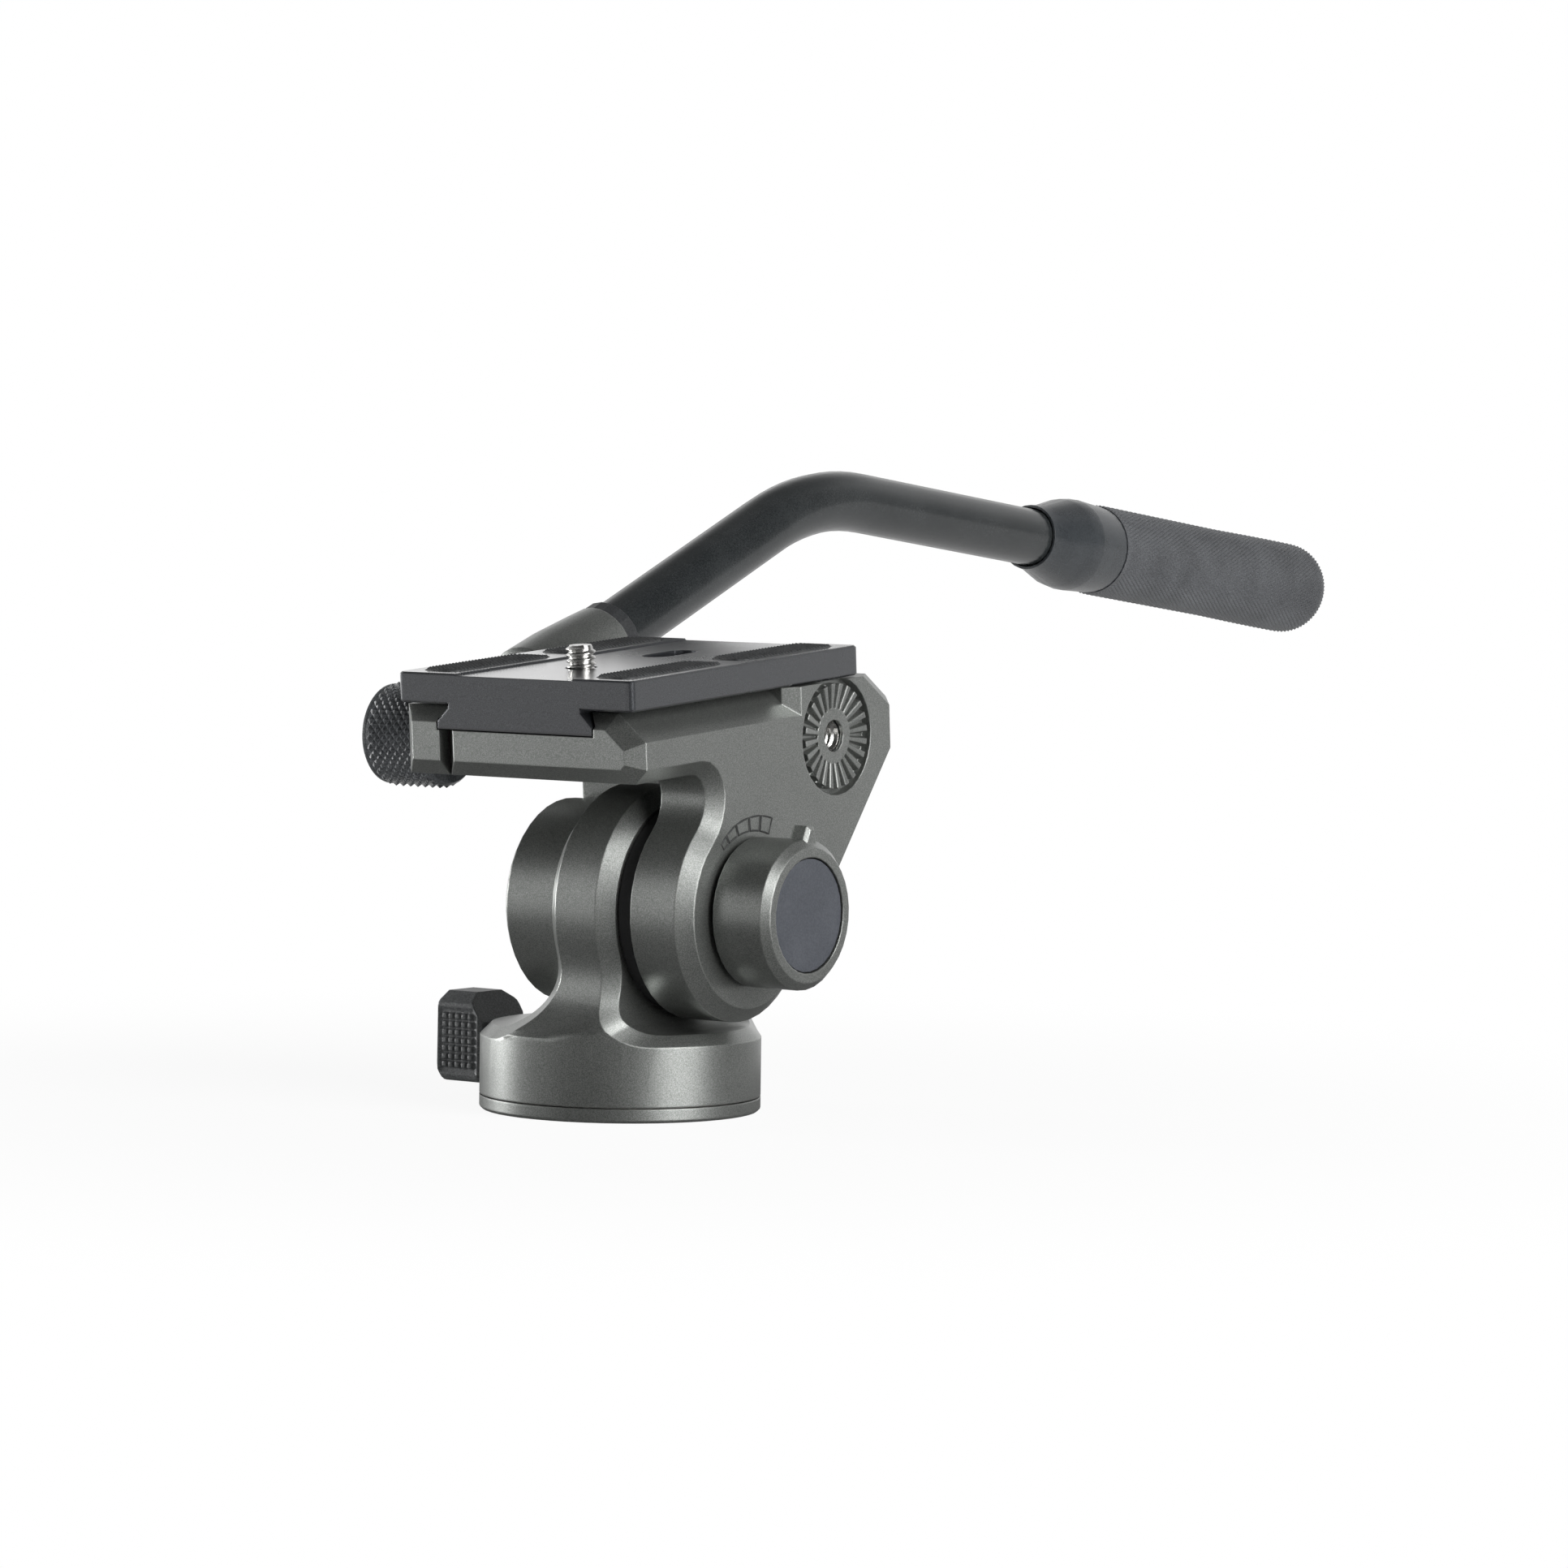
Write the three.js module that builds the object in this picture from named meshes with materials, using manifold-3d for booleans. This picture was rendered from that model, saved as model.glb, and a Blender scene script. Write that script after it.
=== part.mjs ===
// Fluid video head: a round pan base, an upright on it, and a tilting platform that straddles the upright.
// Millimetres, +Z up. The origin is the centre of the base's underside, on the pan axis.
// -Y is the lens side, +X the side of the tilt lock knob, and the pan handle runs back along +Y.
import * as THREE from "three";
import { mergeVertices } from "three/addons/utils/BufferGeometryUtils.js";
import Module from "manifold-3d";

const wasm = await Module();
wasm.setup();

// Gaps and facets that every piece shares
const fitGap = 0.3;
const mergeDistance = 1e-4;
const overrun = 6;
const mostSides = 48;
const bendSteps = 10;
const leastSides = 12;
const sidesShare = 0.6;

// Base disc and pan housing
const baseRadius = 30;
const discThickness = 3;
const discEdge = 0.6;
const seamGap = 0.3;
const rimHeight = 15.8;
const rimChamfer = 2.4;
const spindleRadius = 13;
const flangeRadius = 16;
const flangeThickness = 6;
const retainerRadius = 20;
const retainerThickness = 4.2;
const glideInner = 24;
const glideOuter = 28;
const glideThickness = 1;
const bushRadius = 7;
const bushLength = 9;
const threadRadius = 4.75;
const bushLip = 0.8;

// Pan lock: a screw along -X that presses a shoe on the spindle's flange
const lockHeight = 11.5;
const lockScrewRadius = 2.7;
const shoeRadius = 3.4;
const shoeLength = 3.2;
const leverHubRadius = 5.2;
const leverHubLength = 1.6;
const leverWidth = 12.4;
const leverBelow = 8;
const leverAbove = 11.3;
const leverThickness = 16;
const leverDraft = 2.2;
const leverEdge = 1.6;

// Upright of the pan housing
const lobeClearance = 2.3;
const uprightLeft = -1.4;
const uprightThickness = 16.6;
const headRadius = 25.75;
const neckFlareRadius = 14;
const neckFlareRise = 11.8;
const flareBlend = 2.5;
const uprightChamfer = 3.1;
const leftFlareShare = 0.5;
const rightFlareShare = 0.645;
const neckRows = 16;
const chamferRows = 4;
const headRows = 11;
const rowCrowding = 1.5;
const crowdedShare = 0.5;

// Tilt axle and what sits on it
const restTilt = THREE.MathUtils.degToRad(4.17);
const noseUpLimit = THREE.MathUtils.degToRad(50);
const axleRadius = 5;
const axleThread = 3.3;
const axleThreadDepth = 18;
const nutRadius = 8;
const nutThickness = 2.4;
const drumGap = 0.6;
const drumWidth = 13.1;
const drumRadius = 21.7;
const drumEdge = 0.8;
const drumWall = 1.6;
const drumRecessRadius = 14;
const capThickness = 1.4;
const cartridgeRadius = 17.5;
const cartridgeWall = 2.4;
const rotorShare = 0.2;
const frictionDiscStep = 1.5;
const frictionDiscThickness = 3.9;
const bushWall = 3;
const cheekGap = 4.5;

// Tilting casting: platform, right cheek, left arm
const cheekThickness = 14.3;
const cheekLobe = 23.5;
const castChamfer = 3;
const frontBevel = 3.3;
const headClearance = 4.75;
const platformThickness = 9.7;
const platformFront = 38.3;
const platformRear = 43.1;
const platformLeft = 17.2;
const shoulderDrop = 5.9;
const shoulderWidth = 6.8;
const cheekNeckSetback = 11.3;
const cheekNeckShare = 0.7;
const cheekBack = 55.6;
const cheekBackDrop = 2.6;
const cheekBackRise = 8.9;
const cheekCornerSlope = 1.34;
const bossFront = 17;
const leftArmFront = 6;
const leftArmBack = 46;
const leftArmFillet = 5;
const leftBossReach = 29.3;
const leftBossRadius = 14.2;

// Toothed rosettes that carry the handle or an accessory
const rosetteSetback = 32.6;
const rosetteRise = 3.1;
const rosetteRadius = 11.3;
const rosetteHub = 5.7;
const rosetteRecess = 12.7;
const rosetteDepth = 2.3;
const toothCount = 24;
const toothHeight = 1.5;
const crestShare = 0.42;
const rootShare = 0.2;
const insertRadius = 4.6;
const insertBore = 3.2;
const insertLength = 9;
const insertLip = 0.8;

// Quick release plate and its dovetail
const plateCentre = 2.35;
const plateHalfWidth = 30.7;
const plateFlange = 6.45;
const plateUnderside = 5.2;
const plateCorner = 1.6;
const plateEdge = 0.4;
const footHalfWidth = 20.2;
const footLip = 1.6;
const dovetailRise = 3;
const channelHalfWidth = 15.4;
const channelDepth = 0.4;
const padWidth = 9.4;
const padLength = 34.4;
const padInset = 3.4;
const padProud = 0.9;
const padSink = 0.8;
const padEnd = 3.6;
const slotFront = 8.6;
const slotLength = 15.4;
const slotWidth = 7;
const slotLedge = 2.6;
const ledgeDepth = 5;
const stopInset = 9;
const stopRadius = 1.9;
const stopLength = 3.4;

// Camera screw
const cameraScrewSetback = 14.8;
const cameraScrewRadius = 3.175;
const cameraScrewProud = 4.8;
const cameraHeadRadius = 7.6;
const cameraHeadThickness = 2.6;
const coinSlotWidth = 1.6;
const coinSlotDepth = 1.2;

// Moving jaw and its clamp knob
const jawWidth = 10.5;
const jawLength = 38.6;
const jawGap = 0.4;
const clampSetback = 19;
const clampDrop = 3.8;
const clampScrewRadius = 2.6;
const clampReach = 16;
const clampKnobRadius = 11.3;
const clampKnobLength = 16;
const clampKnobGap = 1.8;
const clampRimRadius = 10.7;
const clampRimWidth = 1.1;
const guidePinRadius = 1.6;
const guidePinInset = 5.4;
const guidePinReach = 9;

// Tilt lock knob
const knobRadius = 15.8;
const knobLength = 13.5;
const knobChamfer = 1.6;
const knobGap = 1.4;
const knobDiscRadius = 11.87;
const knobDiscSink = 0.4;
const knobDiscThickness = 1.4;
const pointerReach = 18.6;
const pointerWidth = 4.8;
const pointerStart = 8;
const pointerLength = 4.6;
const pointerTurn = THREE.MathUtils.degToRad(-10);
const lockStudReach = 15;

// Pan handle
const handleOffset = 10.7;
const handleRise = THREE.MathUtils.degToRad(18.24);
const handleBend = THREE.MathUtils.degToRad(28.92);
const handleAbove = 10.94;
const handleBendAt = 105.8;
const handleBendRadius = 76;
const tubeRadius = 7;
const tubeStart = 5.2;
const tubePastBend = 130;
const socketFront = 8.2;
const socketRadius = 10.4;
const socketWaistAt = 13.8;
const socketWaist = 9;
const socketRear = 19.1;
const socketRearRadius = 8.4;
const ringLength = 3.6;
const ringRadius = 8.1;
const collarAt = 93.1;
const collarNeck = 7.9;
const bellRadius = 11.35;
const bellLength = 17;
const collarLength = 28.5;
const gripRadius = 11.25;
const gripLength = 100.5;
const gripBulge = 0.35;
const gripEndRound = 7;
const handlePlateRadius = 12;
const handlePlateThickness = 20.8;
const clampBoltRadius = 2.8;
const clampBoltReach = 10;
const starRadius = 10;
const starLength = 10;
const starLobes = 6;
const starWave = 0.9;

// Places that follow from the sizes above
const housingTop = rimHeight + rimChamfer;
const housingBottom = discThickness + seamGap;
const tiltAxisHeight = housingTop + lobeClearance + cheekLobe;
const uprightRight = uprightLeft + uprightThickness;
const leftFlareRadius = (baseRadius - rimChamfer + uprightLeft) * leftFlareShare;
const rightFlareRadius = (baseRadius - rimChamfer - uprightRight) * rightFlareShare;
const drumRight = uprightLeft - drumGap;
const drumLeft = drumRight - drumWidth;
const rotorThickness = drumWidth * rotorShare;
const cheekInner = uprightRight + cheekGap;
const cheekOuter = cheekInner + cheekThickness;
const frictionDiscRadius = cheekLobe - frictionDiscStep;
const platformUnderside = headRadius + headClearance;
const grooveFloor = platformUnderside + platformThickness;
const footBottom = grooveFloor + fitGap;
const flangeBottom = footBottom + plateUnderside;
const plateTop = flangeBottom + plateFlange;
const landTop = flangeBottom - fitGap;
const jawTop = landTop - fitGap;
const rosetteHeight = platformUnderside + rosetteRise;
const hubRise = rosetteDepth - toothHeight / 2;
const plateFront = -platformFront;
const retainerBottom = housingBottom + seamGap;
const flangeBase = retainerBottom + retainerThickness + fitGap;
const flangeTop = flangeBase + flangeThickness;
const handleFace = -leftBossReach - fitGap;
const handlePlane = handleFace - handleOffset + fitGap;

// Finishes
const paint = { color: 0x3a3d3c, roughness: 0.55, metalness: 0.35 };
const anodised = { color: 0x24262a, roughness: 0.42, metalness: 0.6 };
const steel = { color: 0xc9cacb, roughness: 0.25, metalness: 1 };
const darkSteel = { color: 0x55585c, roughness: 0.35, metalness: 0.9 };
const brass = { color: 0xb5914c, roughness: 0.35, metalness: 1 };
const rubber = { color: 0x2b2d2f, roughness: 0.9, metalness: 0 };
const blackPlastic = { color: 0x1b1d1f, roughness: 0.5, metalness: 0 };
const nylon = { color: 0xd8d6cf, roughness: 0.6, metalness: 0 };
const inlay = { color: 0x4b5160, roughness: 0.5, metalness: 0.2 };
const satinTube = { color: 0x222527, roughness: 0.4, metalness: 0.4 };

// Number of sides that a round piece of this radius gets
function sidesFor(radius) {
  const sides = 4 * Math.round((mostSides / 4) * (radius / baseRadius) ** sidesShare);
  return Math.min(mostSides, Math.max(leastSides, sides));
}

// A closed geometry as a solid, with its faces pointing out
function solid(geometry) {
  const bare = geometry.index ? geometry.toNonIndexed() : geometry.clone();
  for (const name of Object.keys(bare.attributes)) {
    if (name !== "position") bare.deleteAttribute(name);
  }
  const merged = mergeVertices(bare, mergeDistance);
  const points = merged.attributes.position.array;
  const corners = [];
  let volume = 0;
  for (let i = 0; i < merged.index.count; i += 3) {
    const [a, b, c] = [0, 1, 2].map((k) => merged.index.getX(i + k));
    if (a === b || b === c || c === a) continue;
    const [p, q, r] = [a, b, c].map((n) => new THREE.Vector3().fromArray(points, 3 * n));
    volume += p.dot(q.cross(r));
    corners.push(a, b, c);
  }
  if (volume < 0) corners.reverse();
  const mesh = { numProp: 3, vertProperties: new Float32Array(points), triVerts: new Uint32Array(corners) };
  return new wasm.Manifold(new wasm.Mesh(mesh));
}

function join(first, ...others) {
  return others.reduce((whole, next) => whole.add(next), first);
}

function cut(body, ...tools) {
  return tools.reduce((rest, tool) => rest.subtract(tool), body);
}

// A solid or a geometry as a named mesh
function piece(name, shape, finish) {
  const { vertProperties, triVerts } = (shape.isBufferGeometry ? solid(shape) : shape).getMesh();
  const geometry = new THREE.BufferGeometry();
  geometry.setAttribute("position", new THREE.BufferAttribute(vertProperties, 3));
  geometry.setIndex(new THREE.BufferAttribute(triVerts, 1));
  const flat = geometry.toNonIndexed();
  flat.computeVertexNormals();
  const mesh = new THREE.Mesh(flat, new THREE.MeshStandardMaterial(finish));
  mesh.name = name;
  return mesh;
}

// An outline from corners [u, v] or [u, v, radius], where a radius rounds the corner
function outline(corners) {
  const points = [];
  corners.forEach(([u, v, radius = 0], i) => {
    const here = new THREE.Vector2(u, v);
    if (radius === 0) {
      points.push(here);
      return;
    }
    const before = corners[(i + corners.length - 1) % corners.length];
    const after = corners[(i + 1) % corners.length];
    const toBefore = new THREE.Vector2(before[0], before[1]).sub(here).normalize();
    const toAfter = new THREE.Vector2(after[0], after[1]).sub(here).normalize();
    const half = toBefore.angleTo(toAfter) / 2;
    const middle = toBefore.clone().add(toAfter).normalize();
    const centre = here.clone().addScaledVector(middle, radius / Math.sin(half));
    const start = here.clone().addScaledVector(toBefore, radius / Math.tan(half)).sub(centre);
    const sweep = (Math.PI - 2 * half) * Math.sign(toAfter.cross(toBefore));
    const steps = Math.max(2, Math.ceil((Math.abs(sweep) / (2 * Math.PI)) * sidesFor(radius)));
    for (let step = 0; step <= steps; step += 1) {
      const turned = start.clone().rotateAround(new THREE.Vector2(), (sweep * step) / steps);
      points.push(turned.add(centre));
    }
  });
  return new THREE.Shape(points);
}

// Points of an arc, as corners for an outline
function arc(u, v, radius, fromAngle, toAngle) {
  const sweep = toAngle - fromAngle;
  const steps = Math.max(2, Math.ceil((Math.abs(sweep) / (2 * Math.PI)) * sidesFor(radius)));
  return Array.from({ length: steps + 1 }, (_, step) => {
    const angle = fromAngle + (sweep * step) / steps;
    return [u + radius * Math.cos(angle), v + radius * Math.sin(angle)];
  });
}

function disc(u, v, radius) {
  return outline(arc(u, v, radius, 0, 2 * Math.PI).slice(1));
}

// Extrusions: the outline is read as (y, z) along X, as (x, z) along Y and as (x, y) along Z.
// A bevel narrows both ends.
function extrude(shape, length, bevel) {
  return new THREE.ExtrudeGeometry(shape, {
    depth: length - 2 * bevel,
    steps: 1,
    bevelEnabled: bevel > 0,
    bevelThickness: bevel,
    bevelSize: bevel,
    bevelOffset: -bevel,
    bevelSegments: 1,
  }).translate(0, 0, bevel);
}

const alongX = new THREE.Matrix4().makeBasis(
  new THREE.Vector3(0, 1, 0),
  new THREE.Vector3(0, 0, 1),
  new THREE.Vector3(1, 0, 0),
);
const alongY = new THREE.Matrix4().makeBasis(
  new THREE.Vector3(1, 0, 0),
  new THREE.Vector3(0, 0, 1),
  new THREE.Vector3(0, -1, 0),
);

function slabX(shape, from, to, bevel = 0) {
  return solid(extrude(shape, to - from, bevel).translate(0, 0, from).applyMatrix4(alongX));
}

function slabY(shape, from, to, bevel = 0) {
  return solid(extrude(shape, to - from, bevel).translate(0, 0, -to).applyMatrix4(alongY));
}

function slabZ(shape, from, to, bevel = 0) {
  return solid(extrude(shape, to - from, bevel).translate(0, 0, from));
}

function box(x0, x1, y0, y1, z0, z1) {
  const centre = [(x0 + x1) / 2, (y0 + y1) / 2, (z0 + z1) / 2];
  return solid(new THREE.BoxGeometry(x1 - x0, y1 - y0, z1 - z0).translate(...centre));
}

// A turned piece: the profile is a list of [radius, place along the axis], closed on the axis or on itself
function turned(profile, axis = "z", sides = 0) {
  const widest = Math.max(...profile.map(([radius]) => radius));
  const points = profile.map(([radius, along]) => new THREE.Vector2(radius, along));
  const geometry = new THREE.LatheGeometry(points, sides || sidesFor(widest));
  geometry.rotateX(Math.PI / 2);
  if (axis === "x") geometry.rotateY(Math.PI / 2);
  if (axis === "y") geometry.rotateX(-Math.PI / 2);
  return solid(geometry);
}

function rod(radius, from, to, axis = "z", sides = 0) {
  return turned([[0, from], [radius, from], [radius, to], [0, to]], axis, sides);
}

function ring(inner, outer, from, to, axis = "z") {
  const profile = [[inner, from], [outer, from], [outer, to], [inner, to], [inner, from]];
  return turned(profile, axis);
}

// A ring of radial teeth on the X axis that rises from x = root to root + rise, lower toward the hub
function toothRing(root, rise) {
  const backing = Math.abs(rise);
  const floor = root - Math.sign(rise) * backing;
  const stations = [];
  for (let tooth = 0; tooth < toothCount; tooth += 1) {
    const pitch = (2 * Math.PI) / toothCount;
    const start = tooth * pitch;
    const flank = (pitch * (1 - crestShare - rootShare)) / 2;
    stations.push([start, 1]);
    stations.push([start + crestShare * pitch, 1]);
    stations.push([start + crestShare * pitch + flank, 0]);
    stations.push([start + pitch - flank, 0]);
  }
  const positions = [];
  const rows = stations.map(([angle, height]) => {
    const [c, s] = [Math.cos(angle), Math.sin(angle)];
    const hubHeight = height * (rosetteHub / rosetteRadius);
    return [
      [floor, rosetteHub * c, rosetteHub * s],
      [floor, rosetteRadius * c, rosetteRadius * s],
      [root + rise * height, rosetteRadius * c, rosetteRadius * s],
      [root + rise * hubHeight, rosetteHub * c, rosetteHub * s],
    ];
  });
  rows.forEach((row, i) => {
    const next = rows[(i + 1) % rows.length];
    row.forEach((corner, k) => {
      const k2 = (k + 1) % row.length;
      positions.push(...corner, ...row[k2], ...next[k2]);
      positions.push(...corner, ...next[k2], ...next[k]);
    });
  });
  const geometry = new THREE.BufferGeometry();
  geometry.setAttribute("position", new THREE.Float32BufferAttribute(positions, 3));
  return solid(geometry);
}

// Base: foot disc, spindle, threaded bush and glide ring
function makeBase() {
  const base = new THREE.Group();
  const holeRadius = bushRadius + fitGap;
  const foot = turned([
    [holeRadius, 0],
    [baseRadius - discEdge, 0],
    [baseRadius, discEdge],
    [baseRadius, discThickness],
    [holeRadius, discThickness],
    [holeRadius, 0],
  ]);
  base.add(piece("foot_disc", foot, paint));

  const spindle = turned([
    [holeRadius, discThickness],
    [spindleRadius, discThickness],
    [spindleRadius, flangeBase],
    [flangeRadius, flangeBase],
    [flangeRadius, flangeTop],
    [holeRadius, flangeTop],
    [holeRadius, discThickness],
  ]);
  base.add(piece("pan_spindle", spindle, darkSteel));

  const bush = turned([
    [threadRadius + bushLip, 0],
    [bushRadius, 0],
    [bushRadius, bushLength],
    [threadRadius, bushLength],
    [threadRadius, bushLip],
    [threadRadius + bushLip, 0],
  ]);
  base.add(piece("tripod_thread_bush", bush, steel));

  const glide = ring(glideInner, glideOuter, discThickness, discThickness + glideThickness);
  base.add(piece("pan_glide_ring", glide, nylon));
  return base;
}

// The upright's two side faces; each runs out at its foot in a fillet of this radius
const uprightEdges = [
  { plane: uprightLeft, outward: -1, radius: leftFlareRadius },
  { plane: uprightRight, outward: 1, radius: rightFlareRadius },
];

// Width of the chamfer along the upright's edges: the rim's own at the foot, wider above the fillets
function chamferAt(height) {
  const share = THREE.MathUtils.clamp((height - housingTop) / leftFlareRadius, 0, 1);
  return THREE.MathUtils.lerp(rimChamfer, uprightChamfer, share);
}

// Place across the upright where a side face stands at a height, drawn in by an inset
function edgeAt({ plane, outward, radius }, height, inset) {
  const drop = Math.max(0, housingTop + radius - height);
  const reach = radius + inset;
  const along = Math.sqrt(Math.max(0, reach * reach - drop * drop));
  return plane + outward * (radius - along);
}

// How far the chamfers draw the upright's front in, at a place and a height
function insetAt(x, height) {
  const chamfer = chamferAt(height);
  const insets = uprightEdges.map(({ plane, outward, radius }) => {
    const drop = Math.max(0, housingTop + radius - height);
    return chamfer + radius - Math.hypot(x - plane - outward * radius, drop);
  });
  return Math.max(0, ...insets);
}

// Half depth of the base's faceted wall at a place across it, drawn in by an inset
function wallDepth(x, inset) {
  const step = (2 * Math.PI) / sidesFor(baseRadius);
  const radius = baseRadius - inset;
  const facet = Math.floor(Math.asin(x / radius) / step);
  const [low, high] = [facet * step, (facet + 1) * step];
  const share = (x / radius - Math.sin(low)) / (Math.sin(high) - Math.sin(low));
  return radius * THREE.MathUtils.lerp(Math.cos(low), Math.cos(high), share);
}

// Half depth of the upright's front at a height: the round head, and the hollow arc that touches it
function frontDepth(height) {
  const flareHeight = housingTop + neckFlareRise;
  const rise = tiltAxisHeight - flareHeight;
  const reach = headRadius + neckFlareRadius;
  const below = tiltAxisHeight - height;
  if (below < (rise * headRadius) / reach) return Math.sqrt(headRadius * headRadius - below * below);
  const centre = Math.sqrt(reach * reach - rise * rise);
  const drop = flareHeight - height;
  return centre - Math.sqrt(Math.max(0, neckFlareRadius * neckFlareRadius - drop * drop));
}

// Half depth of the upright at a place: its front, flowing into the base's own wall at the foot. The wall's
// hold on it fades towards the tilt axis.
function uprightDepth(x, height) {
  const inset = insetAt(x, height);
  const front = frontDepth(height) - inset;
  const fade = THREE.MathUtils.clamp((tiltAxisHeight - height) / neckFlareRadius, 0, 1);
  const wall = wallDepth(x, inset) + rimChamfer * (1 - fade);
  const blend = THREE.MathUtils.lerp(fitGap, flareBlend, fade);
  const share = THREE.MathUtils.clamp((wall - front + blend) / (2 * blend), 0, 1);
  return THREE.MathUtils.lerp(wall, front, share) - blend * share * (1 - share);
}

// Corner of the upright's edge that lies square across the chamfer from its chamfer line at a height
function edgeCorner(edge, height) {
  const chamfer = chamferAt(height);
  const drop = Math.max(0, housingTop + edge.radius - height);
  const across = height + (drop * chamfer) / (edge.radius + chamfer);
  const x = edgeAt(edge, across, 0);
  return [x, -uprightDepth(x, across), across];
}

// Places across the upright at a height: both chamfer lines and, between them, the corners of the base's wall,
// which crowd together where the upright is too narrow for them
function uprightPlaces(height) {
  const [left, right] = uprightEdges.map((edge) => edgeAt(edge, height, chamferAt(height)));
  const [footLeft, footRight] = uprightEdges.map((edge) => edgeAt(edge, rimHeight, rimChamfer));
  const step = (2 * Math.PI) / sidesFor(baseRadius);
  const corners = [];
  for (let facet = Math.ceil(-Math.PI / 2 / step); facet * step < Math.PI / 2; facet += 1) {
    const x = baseRadius * Math.sin(facet * step);
    if (x > footLeft && x < footRight) corners.push(x);
  }
  const least = ((right - left) * crowdedShare) / (corners.length + 1);
  const between = corners.map((x, i) => {
    return THREE.MathUtils.clamp(x, left + (i + 1) * least, right - (corners.length - i) * least);
  });
  return [left, ...between, right];
}

// A solid between a skin of rows, each from left to right, and the same skin mirrored to the back.
// The first row is repeated inside the piece that this one grows out of.
function mirroredSkin(rows, sunk) {
  const root = rows[0].map(([x, y, z]) => [x / 2, y / 2, z - sunk]);
  const front = [root, ...rows];
  const back = front.map((row) => row.map(([x, y, z]) => [x, -y, z]));
  const around = [...front, ...[...back].reverse()];
  const positions = [];
  const quad = (a, b, c, d) => positions.push(...a, ...b, ...c, ...a, ...c, ...d);
  around.forEach((row, i) => {
    const next = around[(i + 1) % around.length];
    for (let j = 0; j + 1 < row.length; j += 1) quad(row[j], row[j + 1], next[j + 1], next[j]);
  });
  for (let i = 0; i + 1 < front.length; i += 1) {
    quad(back[i].at(0), front[i].at(0), front[i + 1].at(0), back[i + 1].at(0));
    quad(front[i].at(-1), back[i].at(-1), back[i + 1].at(-1), front[i + 1].at(-1));
  }
  const geometry = new THREE.BufferGeometry();
  geometry.setAttribute("position", new THREE.Float32BufferAttribute(positions, 3));
  return solid(geometry);
}

// Upright: the neck flows from the base's wall up to the tilt axis, and the head is round about that axis
function makeUpright() {
  const heights = [];
  for (let row = 0; row < chamferRows; row += 1) {
    heights.push(rimHeight + rimChamfer * (row / chamferRows) ** 2);
  }
  for (let row = 0; row <= neckRows; row += 1) {
    const share = (row / neckRows) ** rowCrowding;
    heights.push(THREE.MathUtils.lerp(housingTop, tiltAxisHeight, share));
  }
  const neck = heights.map((height) => {
    const [leftCorner, rightCorner] = uprightEdges.map((edge) => edgeCorner(edge, height));
    const inner = uprightPlaces(height).map((x) => [x, -uprightDepth(x, height), height]);
    return [leftCorner, ...inner, rightCorner];
  });
  const [left, right] = uprightEdges.map((edge) => edgeAt(edge, tiltAxisHeight, uprightChamfer));
  const head = Array.from({ length: headRows + 1 }, (_, row) => {
    const angle = (Math.PI / 2) * (row / headRows);
    const places = [uprightLeft, left, right, uprightRight];
    return places.map((x) => {
      const radius = headRadius - insetAt(x, tiltAxisHeight);
      const depth = row < headRows ? radius * Math.cos(angle) : 0;
      return [x, -depth, tiltAxisHeight + radius * Math.sin(angle)];
    });
  });
  return join(mirroredSkin(neck, rimChamfer), mirroredSkin(head, uprightChamfer));
}

// Pan housing: a round casting with the upright, bored out from below
function makeHousing() {
  const drum = turned([
    [0, housingBottom],
    [baseRadius, housingBottom],
    [baseRadius, rimHeight],
    [baseRadius - rimChamfer, housingTop],
    [0, housingTop],
  ]);
  const retainerBore = rod(retainerRadius + fitGap, housingBottom - overrun, flangeBase);
  const flangeBore = rod(flangeRadius + fitGap, housingBottom - overrun, flangeTop + fitGap);
  const glideTop = discThickness + glideThickness + fitGap;
  const glideGroove = ring(glideInner - fitGap, glideOuter + fitGap, housingBottom - overrun, glideTop);
  const drumPocket = rod(drumRadius + drumGap, -baseRadius, uprightLeft, "x");
  const armPocket = slabX(armRelief(), -baseRadius, uprightLeft);
  const frictionPocket = rod(frictionDiscRadius + drumGap, uprightRight, baseRadius, "x");
  const axleBore = rod(axleRadius + fitGap, -baseRadius, uprightRight + overrun, "x");
  const lockBore = rod(shoeRadius + fitGap, -baseRadius - overrun, -flangeRadius, "x");
  const body = cut(
    join(drum, makeUpright()),
    retainerBore,
    flangeBore,
    glideGroove,
    drumPocket.translate([0, 0, tiltAxisHeight]),
    armPocket.translate([0, 0, tiltAxisHeight]),
    frictionPocket.translate([0, 0, tiltAxisHeight]),
    axleBore.translate([0, 0, tiltAxisHeight]),
    lockBore.translate([0, 0, lockHeight]),
  );
  return piece("pan_housing", body, paint);
}

// Angle about the tilt axis at which the left arm's straight underside leaves the drum
function armDeparture() {
  const reach = Math.hypot(leftArmBack, platformUnderside);
  return Math.atan2(platformUnderside, leftArmBack) - Math.acos((drumRadius - drumEdge) / reach);
}

// Room for that underside behind the drum, at the nose-up limit
function armRelief() {
  const angle = armDeparture() - noseUpLimit;
  const radial = new THREE.Vector2(Math.cos(angle), Math.sin(angle));
  const along = new THREE.Vector2(-radial.y, radial.x);
  const start = radial.clone().multiplyScalar(drumRadius + drumGap);
  const end = start.clone().addScaledVector(along, leftArmBack);
  return outline([[0, 0], start.toArray(), end.toArray(), [end.x, 0]]);
}

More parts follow.
